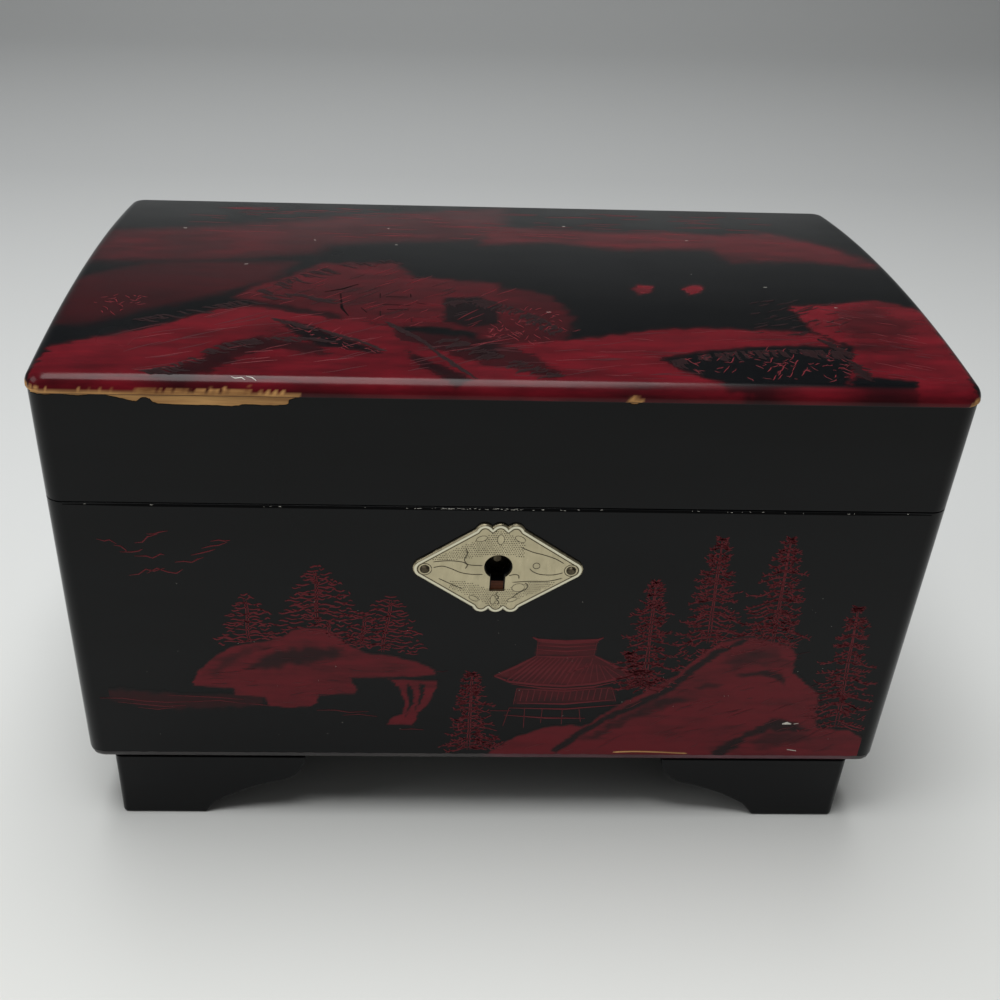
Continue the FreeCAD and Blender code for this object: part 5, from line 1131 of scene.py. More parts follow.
RIGHT_HILL = [(78.2, -25.1), (88.3, -22.9), (103.1, -19.6), (113.6, -25.6), (113.6, -39.4), (113.8, -54.0),
              (112.6, -65.7), (110.3, -70.1), (101.2, -71.6), (97.6, -69.6), (99.0, -63.7), (93.1, -62.8),
              (84.4, -62.1), (81.3, -66.7), (85.2, -53.3), (88.2, -47.9), (79.9, -38.9)]
# Soft areas on the lid: strength, feather, outline
LID_WASHES = [
    (0.42, 4.5, [(-114.7, 0.1), (-112.4, 25.7), (-89.5, 30.4), (-58.7, 40.8), (-39.8, 49.2), (7.3, 62.7),
        (4.2, 25.1), (-34.6, 19.6), (-48.1, 15.9), (-51.3, 9.0), (-81.9, 0.8), (-113.2, -1.0)]),
    (0.55, 3.2, [(-1.0, 37.8), (19.3, 36.6), (41.4, 34.2), (56.2, 36.0), (72.0, 33.1), (87.7, 37.6),
        (103.7, 22.6), (112.5, 7.3), (109.5, 4.4), (93.4, 8.9), (69.7, 7.5), (65.5, 18.6), (38.4, 16.2),
        (17.6, 22.3), (-2.4, 18.6)]),
    (0.3, 3.0, [(-113.6, -14.7), (-96.8, -2.4), (-73.3, 0.1), (-56.0, -0.1), (-61.8, -14.2), (-78.6, -25.4),
        (-93.2, -33.9), (-104.8, -41.7), (-113.1, -42.0)]),
    (0.46, 1.1, FAR_SLOPE),
    (0.42, 1.6, [(-5.0, -19.9), (6.0, -16.0), (14.4, -21.2), (18.5, -33.6), (15.5, -47.1), (5.4, -49.3),
        (-6.8, -47.9)]),
    (0.7, 1.1, NEAR_HILLS),
    (0.74, 1.2, BANKS),
    (0.8, 0.9, RIGHT_HILL),
    (-0.8, 1.1, [(-112.3, -52.1), (-107.2, -48.3), (-96.8, -43.9), (-86.3, -38.2), (-78.0, -30.3),
        (-68.9, -26.0), (-55.7, -29.9), (-41.2, -34.9), (-41.9, -37.5), (-55.5, -32.9), (-66.9, -29.8),
        (-76.0, -33.5), (-84.3, -40.8), (-95.5, -47.2), (-105.3, -50.6), (-110.4, -54.0)]),
    (-0.75, 1.8, [(-85.5, -67.4), (-75.7, -59.7), (-68.7, -50.5), (-60.7, -47.5), (-46.8, -50.4),
        (-44.3, -56.0), (-55.7, -53.2), (-64.3, -56.8), (-70.8, -64.7), (-78.9, -68.2)]),
    (-0.95, 0.6, [(-56.8, -38.2), (-48.8, -41.1), (-40.8, -47.3), (-34.7, -50.8), (-29.7, -54.9),
        (-35.4, -54.1), (-42.2, -52.1), (-46.0, -51.9), (-48.4, -49.7), (-53.2, -44.8)]),
    (-0.8, 0.9, [(-24.8, -52.9), (-18.9, -58.3), (-12.4, -62.7), (-8.9, -65.8), (-12.7, -67.9),
        (-16.9, -64.3), (-22.7, -58.4)]),
    (-0.7, 0.9, [(-28.5, -41.1), (-14.5, -41.8), (-1.8, -47.8), (-2.3, -54.5), (-9.2, -57.9),
        (-17.9, -51.8), (-26.3, -47.1)]),
    (-0.9, 0.7, [(-14.5, -23.4), (-5.4, -22.3), (0.0, -25.7), (-1.1, -39.1), (-8.9, -40.3), (-14.7, -37.8)]),
    (-0.6, 1.2, [(-6.8, -47.9), (3.6, -51.1), (12.8, -62.6), (10.0, -65.8), (0.3, -60.6), (-7.6, -60.0)]),
    (-1.0, 0.9, [(38.1, -55.4), (50.6, -50.7), (68.0, -47.7), (87.4, -47.9), (85.3, -56.7), (81.2, -66.7),
        (80.9, -72.9), (76.2, -73.0), (62.3, -68.9), (52.3, -64.5), (42.1, -59.6)]),
    (-1.0, 0.6, [(83.7, -63.1), (92.9, -63.4), (98.7, -64.5), (97.1, -69.6), (88.7, -70.8), (80.9, -70.6)]),
    (0.75, 0.6, [(36.8, -14.4), (39.2, -11.7), (42.8, -12.5), (42.4, -16.4), (38.8, -19.1)]),
    (0.75, 0.6, [(50.6, -14.4), (54.0, -11.4), (56.9, -11.8), (56.1, -16.0), (52.5, -18.4)]),
    (-0.35, 3.5, [(88.8, -24.2), (101.5, -24.0), (106.2, -35.8), (101.3, -49.2), (89.9, -53.2),
        (87.7, -44.2)]),
    (-0.5, 3.5, [(-112.4, -70.4), (-87.7, -66.7), (-59.0, -67.2), (-37.3, -70.8), (-37.1, -81.8),
        (-110.5, -83.8)]),
]
# Strokes of the flying birds, x and z
BIRDS = [
    [(-102.8, 99.2), (-100.9, 98.6), (-99.6, 99.0), (-97.9, 97.7)],
    [(-98.7, 97.4), (-97.0, 97.1), (-95.8, 95.9), (-95.7, 95.3)],
    [(-97.4, 95.3), (-94.4, 95.3), (-92.6, 95.6), (-91.5, 96.3)],
    [(-93.8, 94.1), (-90.7, 94.1), (-89.2, 93.5), (-87.0, 94.8), (-86.1, 94.5)],
    [(-93.3, 98.1), (-91.3, 98.4), (-89.9, 100.0), (-87.2, 100.9)],
    [(-90.0, 100.9), (-88.0, 100.9), (-86.7, 101.5), (-84.6, 101.9)],
    [(-95.9, 88.0), (-93.3, 88.4), (-91.3, 90.0), (-89.3, 89.4), (-86.4, 90.4)],
    [(-91.2, 88.7), (-88.5, 90.3), (-85.5, 89.1), (-83.5, 88.8), (-81.8, 90.1)],
    [(-83.7, 92.3), (-81.3, 92.6), (-79.3, 92.3), (-77.7, 93.3), (-76.1, 93.9)],
    [(-79.4, 94.5), (-76.8, 95.2), (-74.7, 95.8), (-72.9, 96.5)],
    [(-76.4, 96.7), (-74.1, 97.4), (-72.0, 97.7), (-69.7, 98.7)],
    [(-74.0, 98.9), (-71.9, 99.3), (-70.4, 99.0), (-68.9, 99.3)],
]
# Ripples
WATER = [
    [(-111.1, 49.4), (-106.2, 49.1), (-101.2, 48.7), (-95.2, 48.4), (-89.1, 48.0)],
    [(-110.4, 48.0), (-104.6, 48.0), (-98.1, 46.9), (-91.3, 46.2), (-84.3, 46.2)],
    [(-108.7, 46.1), (-102.6, 46.1), (-96.6, 45.1), (-90.0, 44.7), (-80.2, 45.1)],
    [(-103.9, 44.7), (-97.3, 43.9), (-91.2, 43.2), (-85.1, 43.6)],
    [(-98.5, 42.8), (-93.0, 42.1), (-87.9, 42.9)],
    [(-89.8, 47.3), (-82.6, 47.0), (-75.3, 46.6), (-68.7, 45.9)],
    [(-82.7, 45.1), (-75.4, 45.5), (-68.2, 44.4)],
    [(-48.5, 42.2), (-43.4, 42.3), (-39.5, 41.5), (-33.8, 41.9)],
    [(-41.2, 40.4), (-36.6, 40.8), (-31.5, 40.0)],
    [(-25.1, 35.1), (-21.7, 35.4), (-18.2, 35.1)],
    [(-67.6, 44.4), (-64.3, 44.1), (-61.5, 43.7)],
]
# The pavilion: stroke width and points
PAVILION = [
    (0.5, [(10.8, 68.9), (12.3, 68.0), (20.0, 67.5), (28.5, 68.1), (30.1, 69.0)]),
    (0.35, [(12.1, 67.4), (20.1, 66.9), (29.0, 67.5)]),
    (0.35, [(12.5, 66.1), (20.2, 65.7), (28.3, 66.3)]),
    (0.35, [(12.1, 64.7), (20.3, 64.1), (28.6, 65.0)]),
    (0.3, [(12.3, 68.0), (12.3, 62.5)]),
    (0.3, [(28.5, 67.8), (28.0, 62.6)]),
    (0.4, [(12.2, 62.4), (19.7, 62.0), (28.2, 62.7)]),
    (0.5, [(12.2, 62.4), (7.0, 58.6), (1.0, 55.2)]),
    (0.5, [(28.2, 62.7), (34.9, 58.7), (41.6, 55.9)]),
    (0.45, [(1.0, 55.2), (5.3, 53.2), (13.2, 52.2), (20.7, 51.8), (29.0, 52.7), (36.2, 54.7), (41.6, 55.9)]),
    (0.3, [(6.0, 52.4), (14.1, 51.1), (20.8, 50.7), (29.1, 51.6), (35.5, 53.6)]),
    (0.35, [(7.6, 50.7), (20.9, 49.9), (34.3, 51.4)]),
    (0.35, [(8.0, 45.4), (21.3, 45.2), (35.5, 46.9)]),
    (0.3, [(7.6, 50.7), (7.0, 45.0)]),
    (0.3, [(34.3, 51.4), (35.9, 46.4)]),
    (0.3, [(5.9, 43.6), (21.5, 43.3), (37.6, 45.1)]),
    (0.3, [(4.5, 40.9), (16.7, 39.9), (27.8, 39.9)]),
    (0.3, [(0.5, 42.5), (6.4, 42.5)]),
    (0.3, [(5.9, 43.6), (4.5, 36.9)]),
    (0.3, [(10.3, 43.4), (10.4, 36.2)]),
    (0.3, [(15.3, 43.2), (15.2, 38.1)]),
    (0.3, [(21.0, 43.3), (21.2, 37.6)]),
    (0.3, [(25.8, 43.3), (26.6, 38.6)]),
    (0.3, [(20.6, 56.1), (24.3, 57.8), (27.4, 59.3), (27.9, 62.1)]),
]
# The pavilion's rafters and the slats of its wall
RAFTERS = [[(12.8, 62.0), (8.4, 57.5), (4.4, 53.5)], [(14.1, 62.0), (9.9, 57.5), (6.1, 53.3)],
           [(15.3, 62.0), (11.4, 57.4), (7.8, 53.2)], [(16.5, 62.0), (12.8, 57.4), (9.6, 53.1)],
           [(17.8, 62.0), (14.3, 57.3), (11.3, 53.0)], [(19.0, 62.0), (15.8, 57.3), (13.0, 52.9)],
           [(20.2, 62.0), (17.2, 57.2), (14.7, 52.7)], [(21.4, 62.0), (18.7, 57.1), (16.4, 52.6)],
           [(22.7, 62.0), (20.2, 57.1), (18.1, 52.5)], [(23.9, 62.0), (21.7, 57.0), (19.9, 52.4)],
           [(25.1, 62.1), (23.1, 57.0), (21.6, 52.2)], [(26.5, 60.2), (23.3, 52.3)],
           [(27.3, 60.0), (25.6, 52.7)], [(28.2, 59.8), (27.8, 53.2)], [(29.0, 59.7), (30.1, 53.7)],
           [(29.9, 59.5), (32.3, 54.2)], [(30.7, 59.3), (34.5, 54.6)], [(31.6, 59.1), (36.8, 55.1)]]
SLATS = [[(9.3, 50.0), (8.8, 46.1)], [(11.0, 50.1), (10.5, 46.1)], [(12.7, 50.2), (12.2, 46.2)],
         [(14.5, 50.2), (14.0, 46.3)], [(16.2, 50.3), (15.7, 46.3)], [(17.9, 50.4), (17.4, 46.4)],
         [(19.6, 50.5), (19.1, 46.5)], [(21.3, 50.5), (20.8, 46.5)], [(23.0, 50.6), (22.5, 46.6)],
         [(24.7, 50.7), (24.3, 46.6)], [(26.4, 50.8), (26.0, 46.7)], [(28.1, 50.8), (27.7, 46.8)],
         [(29.8, 50.9), (29.4, 46.8)], [(31.5, 51.0), (31.2, 46.9)], [(33.2, 51.0), (32.9, 47.0)]]
RAFTER_WIDTH, SLAT_WIDTH, PAVILION_BRUSH = 0.42, 0.45, 1.7
# Tall conifers: tip, foot, half width, rows of branches
CONIFERS = [
    ((42.0, 87.7), (43.3, 51.5), 8.0, 18),
    ((57.5, 101.5), (58.8, 67.5), 8.6, 18),
    ((75.3, 101.7), (76.7, 66.6), 9.4, 19),
    ((97.7, 80.4), (100.8, 37.2), 9.7, 20),
    ((-5.2, 56.4), (-5.1, 27.5), 7.6, 15),
    ((37.5, 64.2), (42.5, 51.5), 4.9, 6),
]
# Pines on the island: three corners each
PINES = [
    [(-66.4, 82.2), (-75.1, 64.8), (-56.7, 67.8)],
    [(-47.8, 91.6), (-58.2, 69.9), (-36.3, 75.0)],
    [(-27.9, 82.5), (-41.3, 65.0), (-18.6, 61.7)],
    [(-44.8, 74.9), (-53.3, 69.9), (-35.0, 65.0)],
    [(-35.0, 76.7), (-43.5, 68.3), (-27.6, 61.7)],
]
# Strokes of the house on the lid
HOUSE = [
    [(-42.2, -21.6), (-41.5, -30.6), (-39.6, -35.2)],
    [(-31.7, -21.1), (-31.4, -34.9)],
    [(-23.5, -21.1), (-23.3, -38.2)],
    [(-30.9, -28.1), (-23.6, -28.4)],
    [(-30.1, -23.1), (-24.3, -23.2)],
    [(-36.5, -30.3), (-34.9, -33.1)],
    [(-29.7, -31.0), (-24.1, -31.1)],
    [(-22.0, -26.7), (-19.5, -27.4)],
    [(-46.5, -20.8), (-41.7, -18.5), (-37.6, -15.1)],
]
# Places on the lid with small leaf strokes
LEAF_PATCHES = [
    [(38.0, -55.9), (55.6, -50.5), (86.4, -48.3), (81.1, -69.8), (69.5, -71.7), (52.1, -65.3)],
    [(-4.7, -28.5), (15.4, -27.6), (18.5, -43.3), (6.3, -48.3), (-5.1, -47.0)],
    [(-55.9, -39.6), (-45.7, -41.8), (-30.1, -54.7), (-45.2, -52.0)],
    [(-107.5, -24.8), (-93.5, -22.1), (-91.6, -33.8), (-104.8, -38.1)],
]
# Undergrowth between the conifers, x and z
BUSHES = [
    [(48, 70), (58, 71), (62, 66), (56, 61), (50, 56)],
    [(71, 78), (79, 79), (82.5, 71), (71, 70)],
    [(37, 56), (45, 60), (49, 52), (40, 48)],
    [(93, 56), (98, 56), (105, 38), (101, 38)],
    [(-5, 35.5), (-8, 27.5), (5.5, 27.5), (2.7, 33.5)],
]


# The front's painting. The board's side edges and its lower edge are round, with these radii in mm
SIDE_ROUND, FOOT_ROUND = 5.0, 3.5
FLAT_TO_X, FLAT_FROM_Z = 110.0, 26.2


def front_skin(x, z, off):
    """How far back a film lies that stands off the front board's rounded surface, in mm."""
    beside = np.clip(np.abs(x) - FLAT_TO_X, 0, 4.6)
    below = np.clip(FLAT_FROM_Z - z, 0, 3.3)
    back = SIDE_ROUND - np.sqrt(SIDE_ROUND ** 2 - beside ** 2)
    back = back + FOOT_ROUND - np.sqrt(FOOT_ROUND ** 2 - below ** 2)
    return FRONT_FACE / MM + back - off


def front_film(low_x, high_x, low_z, high_z, step, off):
    """A thin grid over the front board, in mm."""
    wide, tall = high_x - low_x, high_z - low_z
    bm = bmesh.new()
    place = Matrix.Translation(((low_x + high_x) / 2, 0, (low_z + high_z) / 2))
    place = place @ Matrix.Rotation(math.radians(90), 4, "X") @ Matrix.Diagonal((wide / 2, tall / 2, 1, 1))
    bmesh.ops.create_grid(bm, x_segments=int(wide / step), y_segments=int(tall / step), size=1, matrix=place)
    for vert in bm.verts:
        vert.co.y = front_skin(vert.co.x, vert.co.z, off)
    return bm


def laid_film(name, bm, material, strength):
    """Drops the bare parts of a film and makes it an object that carries its paint strength."""
    carry(bm, strength)
    idle = [face for face in bm.faces if not any(strength[vert.index] > 0.02 for vert in face.verts)]
    bmesh.ops.scale(bm, verts=bm.verts, vec=(MM, MM, MM))
    bmesh.ops.delete(bm, geom=idle, context="FACES")
    placed(name, bm, material, "case")


def build_front_painting():
    """Soft painted areas on a thin film over the front board, and a rubbed band along its foot."""
    bm = front_film(-106, 109.4, 23.4, 82, 0.55, 0.03)
    co = np.array([vert.co[:] for vert in bm.verts])
    strength = wash(co[:, 0], np.maximum(co[:, 2], 26.6), FRONT_WASHES)
    laid_film("front_wash", bm, FINISHES["lacquer"], strength)
    # The band along the foot is a painted highlight on the rounded edge, pink where the ground is painted
    band = front_film(-113, 113, 23.0, 26.0, 0.5, 0.05)
    co = np.array([vert.co[:] for vert in band.verts])
    for vert in band.verts:
        if vert.co.z > 25.9:
            vert.co.z += 0.25 * roughly((vert.co.x, 0, 5), 0.4)
            vert.co.y = front_skin(vert.co.x, vert.co.z, 0.05)
    painted = np.clip((co[:, 0] + 2) / 6, 0, 1) * np.clip((109.5 - co[:, 0]) / 3, 0, 1)
    laid_film("front_foot_highlight", band, FINISHES["rubbed"], 0.05 + 0.95 * painted)


def onto_front(points):
    """Points on the front, in mm, as places on the front board's face."""
    return [(x * MM, FRONT_FACE, z * MM) for x, z in points]


def wavy(start, finish, sway, count=5, phase=0.0):
    """Points from start to finish with a small wave across the way, in mm."""
    (ax, az), (bx, bz) = start, finish
    length = max(math.hypot(bx - ax, bz - az), 1e-6)
    across = (-(bz - az) / length, (bx - ax) / length)
    points = []
    for number in range(count):
        share = number / (count - 1)
        push = sway * math.sin(math.pi * 2 * share + phase)
        points.append((ax + (bx - ax) * share + across[0] * push, az + (bz - az) * share + across[1] * push))
    return points


def pine_strokes(corners):
    """Tiers of short wavy strokes that fill a pine's uneven outline."""
    (tip_x, tip_z), (left_x, left_z), (right_x, right_z) = corners
    strokes = []
    rows = int(abs(tip_z - left_z) / 0.95)
    for row in range(rows):
        share = (row + 0.4) / rows
        tier = 0.72 + 0.42 * ((row % 4) / 3)
        z = tip_z + (left_z - tip_z) * share
        slope = (right_z - left_z) * share
        reach = min(share ** 0.75 * tier + 0.08, 1.08)
        low = tip_x + (left_x - tip_x) * reach
        high = tip_x + (right_x - tip_x) * reach
        x = low
        while x < high:
            length = rng.uniform(1.6, 4.2)
            level = z + slope * (x - low) / max(high - low, 1) + rng.uniform(-0.35, 0.35)
            if rng.random() < 0.86:
                end = (min(x + length, high + 0.5), level + rng.uniform(-0.35, 0.35))
                strokes.append((rng.uniform(0.3, 0.5), wavy((x, level), end, rng.uniform(0.16, 0.34), 6,
                                                           rng.uniform(0, 6))))
            x += length * rng.uniform(0.85, 1.15)
    for shift in (-0.3, 0.3):
        foot = ((left_x + right_x) / 2 + shift, (left_z + right_z) / 2)
        strokes.append((0.3, wavy((tip_x + shift, tip_z - 1.5), foot, 0.3, 6)))
    return strokes


def conifer_strokes(tip, foot, half, rows):
    """A tall conifer: a double trunk, and crowded wavy branches that droop, with tufts along them."""
    strokes = []
    for shift in (-0.3, 0.4):
        trunk = []
        for k in range(8):
            side = shift * (0.4 + k / 9) + rng.uniform(-0.14, 0.14)
            trunk.append((tip[0] + (foot[0] - tip[0]) * k / 7 + side, tip[1] + (foot[1] - tip[1]) * k / 7))
        strokes.append((0.34, trunk))
    rows = int(1.45 * rows)
    for row in range(rows):
        share = (row + rng.uniform(0.0, 0.7)) / rows
        middle_x, middle_z = tip[0] + (foot[0] - tip[0]) * share, tip[1] + (foot[1] - tip[1]) * share
        reach = half * min(0.07 + 1.1 * share ** 0.8, 1.05) * (0.62 + 0.6 * ((row * 7) % 5) / 4)
        for side in (-1, 1):
            length = reach * rng.uniform(0.55, 1.2)
            droop = rng.uniform(0.2, 0.5) * length
            rise = rng.uniform(0.3, 1.1)
            branch = []
            for k in range(8):
                part = k / 7
                lift = rise * max(part - 0.65, 0) / 0.35 + 0.5 * math.sin(math.pi * min(part * 1.6, 1))
                sway = 0.2 * math.sin(9 * part + row)
                branch.append((middle_x + side * length * part, middle_z - droop * part + lift + sway))
            strokes.append((rng.uniform(0.34, 0.52), branch))
            for x, z in branch[1:]:
                for way in (-1, 1):
                    if rng.random() < 0.62:
                        away = side * rng.uniform(0.5, 1.5)
                        rise = way * rng.uniform(0.1, 0.55)
                        tuft = [(x, z), (x + away * 0.6, z + rise), (x + away, z + 1.5 * rise + 0.2)]
                        strokes.append((rng.uniform(0.24, 0.4), tuft))
    return strokes


def pavilion_strokes():
    """The pavilion's outline, its rafters and the slats of its wall."""
    strokes = PAVILION + [(RAFTER_WIDTH, points) for points in RAFTERS]
    strokes += [(SLAT_WIDTH, points) for points in SLATS]
    return [(PAVILION_BRUSH * width, points) for width, points in strokes]


def stroke_object(name, strokes, material, lift=0.045):
    """Strokes on the front, of a width in mm and points in mm. Those past the flat part are left out."""
    bm = bmesh.new()
    wide = bpy.context.scene.jewellery_box.stroke_width
    for width, points in strokes:
        if max(abs(x) for x, z in points) > FLAT_TO_X - 0.5 or min(z for x, z in points) < FLAT_FROM_Z:
            continue
        ribbon_into(bm, onto_front(points), width * MM * wide, (0, -1, 0), lift * MM)
    mesh_object(name, bm, material, "case", 60)


def brush_marks(corners, count, low=1.0, high=3.2, slant=0.25, width=(0.16, 0.32)):
    """Short brush marks inside an outline, for the mottled look of the painted ground."""
    corners = np.array(corners)
    low_x, low_z = corners.min(0)
    high_x, high_z = corners.max(0)
    marks = []
    while len(marks) < count:
        xs = rng.uniform(low_x, high_x, 60)
        zs = rng.uniform(low_z, high_z, 60)
        inside = soft_area(xs, zs, corners, 0.5) > 0.9
        for x, z in zip(xs[inside], zs[inside]):
            length = rng.uniform(low, high)
            tilt = slant + rng.uniform(-0.25, 0.25)
            marks.append((rng.uniform(*width), wavy((x, z), (x + length, z + length * tilt),
                                                    rng.uniform(0.05, 0.2), 4, rng.uniform(0, 6))))
            if len(marks) >= count:
                break
    return marks


def build_front_strokes():
    """Trees, the pavilion, birds, ripples, brush marks, dust and pale flecks on the front."""
    strokes = []
    for corners in PINES:
        strokes += pine_strokes(corners)
    for tree in CONIFERS:
        strokes += conifer_strokes(*tree)
    strokes += pavilion_strokes()
    for corners in BUSHES:
        for slant in (-0.5, 0.6):
            strokes += brush_marks(corners, 26, 0.8, 2.4, slant, (0.25, 0.4))
    stroke_object("front_trees_and_pavilion", strokes, FINISHES["stroke"])
    birds = [(0.34, points) for points in BIRDS] + [(0.22, points) for points in WATER]
    stroke_object("front_birds_and_water", birds, FINISHES["stroke"])
    for name, finish, count in (("front_dark_marks", "faint", 26), ("front_bright_marks", "crimson", 20)):
        marks = brush_marks(ISLAND, count, 2, 5, 0.05, (0.12, 0.22))
        marks += brush_marks(HILL, 2 * count, 2, 6, 0.5, (0.12, 0.24))
        marks = [mark for mark in marks if min(z for x, z in mark[1]) > 27]
        stroke_object(name, marks, FINISHES[finish], 0.05)
    specks = []
    for x, z in zip(rng.uniform(-100, 100, 46), rng.uniform(30, 88, 46)):
        specks.append((0.16, [(x, z), (x + rng.uniform(0.1, 0.25), z + rng.uniform(-0.08, 0.08))]))
    stroke_object("front_dust_specks", specks, FINISHES["bright"], 0.06)
    flecks = [(1.0, [(84.9, 38.3), (86.2, 38.6), (87.5, 38.3)]), (0.6, [(88.3, 38.3), (89.6, 38.6)]),
              (0.7, [(88.2, 28.4), (91.0, 27.9)])]
    stroke_object("front_pale_flecks", flecks, FINISHES["bright"], 0.06)


# Strokes on the lid
def onto_lid(points):
    """Points in the lid's plan, in mm, laid on its arched outside."""
    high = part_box("lid_top_panel")[1]
    xy = np.array(points) * MM
    z = lid_height(xy[:, 0], xy[:, 1], high)[0]
    return [(x, y, height) for (x, y), height in zip(xy, z)]


def lid_object(name, strokes, material):
    """Strokes on the lid, of a width in mm and points in its plan in mm."""
    bm = bmesh.new()
    wide = bpy.context.scene.jewellery_box.stroke_width
    for width, points in strokes:
        ribbon_into(bm, onto_lid(points), width * MM * wide, (0, 0, 1), 0.012 * MM, 0.015 * MM)
    mesh_object(name, bm, material, "lid", 60)


def hatch(corners, count, slant, low=1.2, high=4.0, width=(0.15, 0.34)):
    """Brush marks inside an outline that stay clear of the lid's rolled edge."""
    marks = brush_marks(corners, count, low, high, slant, width)
    return [mark for mark in marks if all(abs(x) < 110.5 and abs(y) < 65 for x, y in mark[1])]


def fringe(ridge, reach, slant, count, width=(0.5, 1.15)):
    """Feathery strokes that hang from a ridge: reach and slant give the longest stroke, in mm."""
    line = smooth_line(ridge, 12)
    strokes = []
    for place in np.sort(rng.uniform(0, len(line) - 1.01, int(1.4 * count))):
        (ax, ay), (bx, by) = line[int(place)], line[int(place) + 1]
        share = place - int(place)
        x, y = ax + (bx - ax) * share, ay + (by - ay) * share
        long = rng.uniform(0.2, 0.75)
        end = (x + reach[0] * long + rng.uniform(-0.6, 0.6), y + reach[1] * long + rng.uniform(-0.6, 0.6))
        strokes.append((rng.uniform(*width), wavy((x, y), end, slant * rng.uniform(0.5, 1.2), 6)))
    return [stroke for stroke in strokes if all(abs(x) < 111 and abs(y) < 66 for x, y in stroke[1])]


# Ridges with dark feathery strokes: the ridge, the longest stroke, its sway and how many
LID_RIDGES = [
    ([(-59.3, -37.4), (-53.1, -40.1), (-45.2, -44.0), (-38.9, -47.2), (-33.9, -51.0)], (7.5, -4.4), 0.3, 30),
    ([(-31.2, -37.3), (-23.4, -45.2), (-17.5, -54.0), (-8.8, -65.0)], (6.0, -6.0), 0.4, 34),
    ([(-11.8, -46.1), (-5.1, -51.9), (5.0, -58.0), (14.2, -63.9)], (-8.5, -4.2), 0.5, 30),
    ([(-95.1, -40.0), (-77.5, -31.8), (-57.5, -23.0), (-49.1, -26.6)], (11.0, -1.4), 0.5, 30),
    ([(-88.4, -65.0), (-79.7, -61.0), (-70.5, -51.8), (-57.2, -47.9), (-47.3, -48.2)], (10.0, -1.8), 0.5, 34),
    ([(-13.0, -24.9), (-3.0, -24.4), (8.5, -32.6), (14.7, -40.4)], (-4.0, -7.5), 0.9, 40),
    ([(-65.0, -21.3), (-55.0, -9.9), (-43.4, -1.3), (-29.5, 3.4)], (9.0, -4.0), 0.5, 22),
    ([(40.0, -56.0), (52.0, -52.0), (70.0, -49.5), (86.0, -50.0)], (3.0, -6.0), 0.4, 60),
    ([(80.0, -44.0), (84.0, -52.0), (84.5, -62.0)], (7.0, -3.0), 0.5, 26),
]


LID_GROVE = [(63, -43), (67, -22), (82, -20), (90, -24), (92, -40), (78, -42)]
LID_SPECKS = [(-30.5, 33.5), (-28.0, 17.0), (-52.0, 20.0), (60.0, 27.0), (55.5, -3.5), (90.0, -25.0),
              (-70.0, -2.0), (12.0, -31.0), (-92.0, 30.0), (74.0, -12.0), (24.0, 40.0)]


def build_lid_strokes():
    """Feathery dark strokes along the ridges, long fine brush marks, the house and the leaf patches."""
    ridges = [stroke for ridge in LID_RIDGES for stroke in fringe(*ridge)]
    ridges += hatch(FAR_SLOPE, 26, 0.7, 3, 7, (0.25, 0.5))
    ridges += hatch(LID_GROVE, 46, 0.5, 2, 5, (0.3, 0.7))
    lid_object("lid_ridge_strokes", ridges, FINISHES["shadow"])
    dark = hatch(NEAR_HILLS, 60, 0.42, 5, 14, (0.2, 0.45)) + hatch(BANKS, 46, 0.1, 5, 14, (0.2, 0.45))
    dark += hatch(RIGHT_HILL, 24, -0.35, 3, 8, (0.2, 0.4))
    lid_object("lid_dark_marks", dark, FINISHES["faint"])
    red = hatch(NEAR_HILLS, 44, 0.4, 4, 12, (0.2, 0.4)) + hatch(BANKS, 36, 0.05, 4, 12, (0.2, 0.4))
    red += hatch(FAR_SLOPE, 36, 0.9, 2, 6) + hatch(RIGHT_HILL, 22, -0.4, 3, 8)
    lid_object("lid_red_marks", red, FINISHES["crimson"])
    leaves = []
    for corners, count in zip(LEAF_PATCHES, (34, 16, 8, 6)):
        for slant in (-1.3, -0.3, 0.5, 1.6):
            leaves += hatch(corners, count, slant, 0.6, 2.2, (0.16, 0.3))
    sky = [(0.2, wavy((x, y), (x + rng.uniform(4, 14), y + rng.uniform(-0.5, 0.8)), 0.25, 6))
           for x, y in zip(rng.uniform(-95, 85, 90), rng.uniform(24, 58, 90))]
    lid_object("lid_leaf_marks", leaves + sky, FINISHES["stroke"])
    lid_object("lid_house", [(0.75, points) for points in HOUSE], FINISHES["dark"])
    specks = []
    for x, y in LID_SPECKS:
        width = rng.uniform(0.25, 0.5)
        specks.append((width, [(x, y), (x + rng.uniform(0.3, 1.1), y + rng.uniform(-0.3, 0.3))]))
    lid_object("lid_specks", specks, FINISHES["bright"])


# The add-on
class JewelleryBoxSettings(bpy.types.PropertyGroup):
    """The colours and sizes that a user may change before the pieces are built."""

    black: bpy.props.FloatVectorProperty(
        name="Black lacquer", description="Colour of the case and the lid's rails", subtype="COLOR", size=4,
        default=shade(5, 6, 8), min=0.0, max=1.0)
    crimson: bpy.props.FloatVectorProperty(
        name="Crimson paint", description="Colour of the painted landscape", subtype="COLOR", size=4,
        default=shade(106, 18, 29), min=0.0, max=1.0)
    velvet: bpy.props.FloatVectorProperty(
        name="Velvet", description="Colour of the lining", subtype="COLOR", size=4,
        default=shade(126, 20, 30), min=0.0, max=1.0)
    plate: bpy.props.FloatVectorProperty(
        name="Nickel", description="Colour of the keyhole plate and hinges", subtype="COLOR", size=4,
        default=shade(190, 180, 150), min=0.0, max=1.0)
    edge_rounding: bpy.props.FloatProperty(
        name="Edge rounding", description="Width of the rounded edges of the boards", default=0.25 * MM,
        min=0.0, max=2 * MM, unit="LENGTH")
    stroke_width: bpy.props.FloatProperty(
        name="Stroke width", description="How wide the painted strokes are, as a share of their own width",
        default=1.0, min=0.2, max=3.0, subtype="FACTOR")


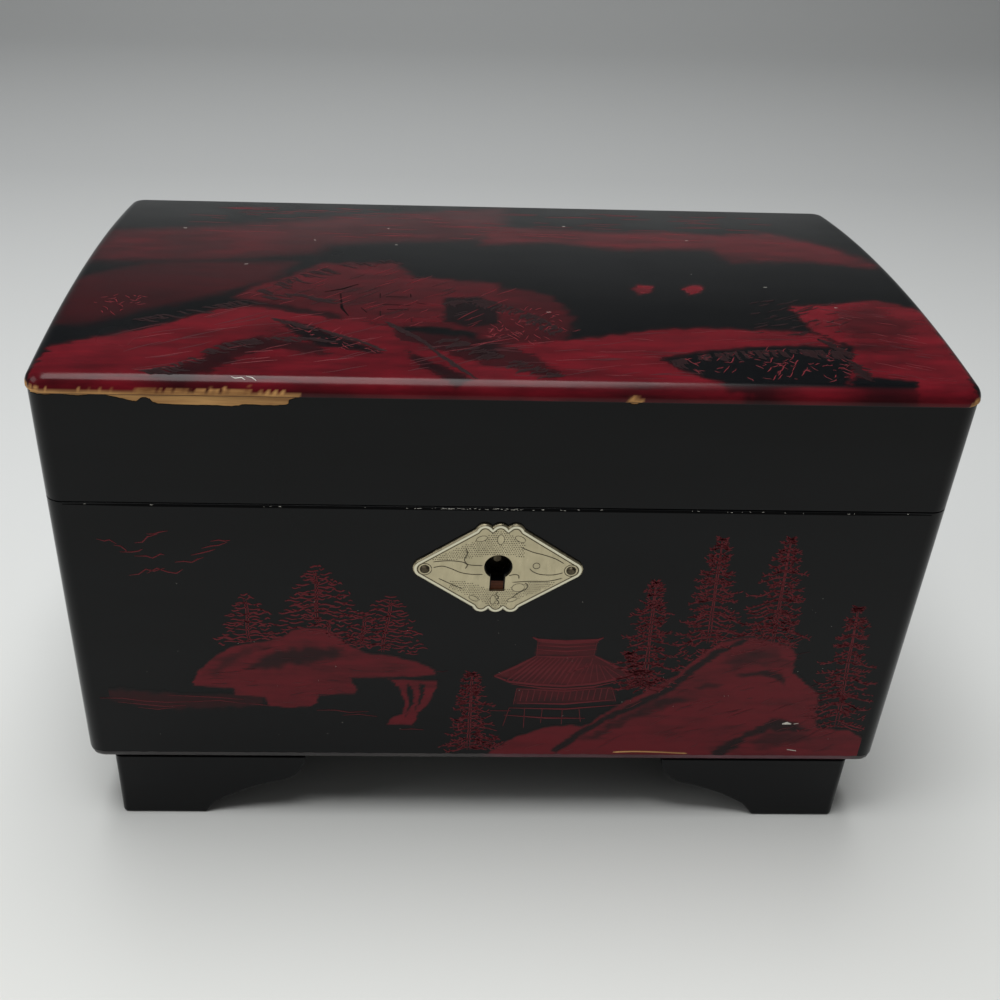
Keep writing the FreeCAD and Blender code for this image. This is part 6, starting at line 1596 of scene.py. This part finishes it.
STEPS = (
    ("stage", "Stage", "Builds the backdrop, lamps, room light and camera", build_stage),
    ("boards", "Boards", "Finishes the case, its feet and the lid's rails", build_boards),
    ("lid", "Lid", "Builds the arched painted top", build_lid),
    ("lid_strokes", "Lid strokes", "Paints brush marks, the house and specks on the lid", build_lid_strokes),
    # The wear step also paints highlights on the lid's cracks, a shadow along the seam and pale flecks on the
    # case's top edge
    ("wear", "Wear", "Adds bare wood, cracks and knocks", build_wear),
    ("front_painting", "Front painting", "Paints the landscape on the front", build_front_painting),
    ("front_strokes", "Front strokes", "Paints trees, pavilion, birds and water", build_front_strokes),
    ("fittings", "Fittings", "Finishes the keyhole plate, lock and hinges", build_fittings),
    ("plate_engraving", "Plate engraving", "Draws waves and stipple on the keyhole plate",
     build_plate_engraving),
    ("lining", "Lining", "Finishes the cloth lining and rolls", build_lining),
    ("rolls", "Ring rolls", "Stuffs the four ring rolls", build_rolls),
    ("mirror", "Mirror", "Finishes the mirror, its frame and the glass", build_mirror),
    ("movement", "Movement", "Finishes the musical movement", build_movement),
    ("movement_details", "Movement details", "Adds tune pins, the worm thread and screw slots",
     build_movement_details),
)


def operator(name, label, purpose, work):
    """An operator that makes the finishes if they aren't there yet, and then builds one group."""
    def execute(self, context):
        make_finishes()
        work()
        return {"FINISHED"}

    return type("JEWELLERY_OT_" + name, (bpy.types.Operator,), {
        "bl_idname": "jewellery." + name, "bl_label": label, "__doc__": purpose, "execute": execute})


OPERATORS = [operator(*step) for step in STEPS]


class JEWELLERY_PT_panel(bpy.types.Panel):
    """The add-on's panel in the sidebar."""

    bl_label = "Jewellery box"
    bl_idname = "JEWELLERY_PT_panel"
    bl_space_type = "VIEW_3D"
    bl_region_type = "UI"
    bl_category = "Jewellery box"

    def draw(self, context):
        settings = context.scene.jewellery_box
        for name in ("black", "crimson", "velvet", "plate", "edge_rounding", "stroke_width"):
            self.layout.prop(settings, name)
        for made in OPERATORS:
            self.layout.operator(made.bl_idname)


def register():
    """Adds the settings, the operators and the panel to Blender."""
    for made in (JewelleryBoxSettings, *OPERATORS, JEWELLERY_PT_panel):
        bpy.utils.register_class(made)
    bpy.types.Scene.jewellery_box = bpy.props.PointerProperty(type=JewelleryBoxSettings)


def unregister():
    """Takes the add-on out of Blender again."""
    del bpy.types.Scene.jewellery_box
    for made in reversed((JewelleryBoxSettings, *OPERATORS, JEWELLERY_PT_panel)):
        bpy.utils.unregister_class(made)


def main():
    """Registers the add-on, runs its operators in order and writes the sizes."""
    register()
    for made in OPERATORS:
        group, name = made.bl_idname.split(".")
        getattr(getattr(bpy.ops, group), name)()


if __name__ == "__main__":
    main()
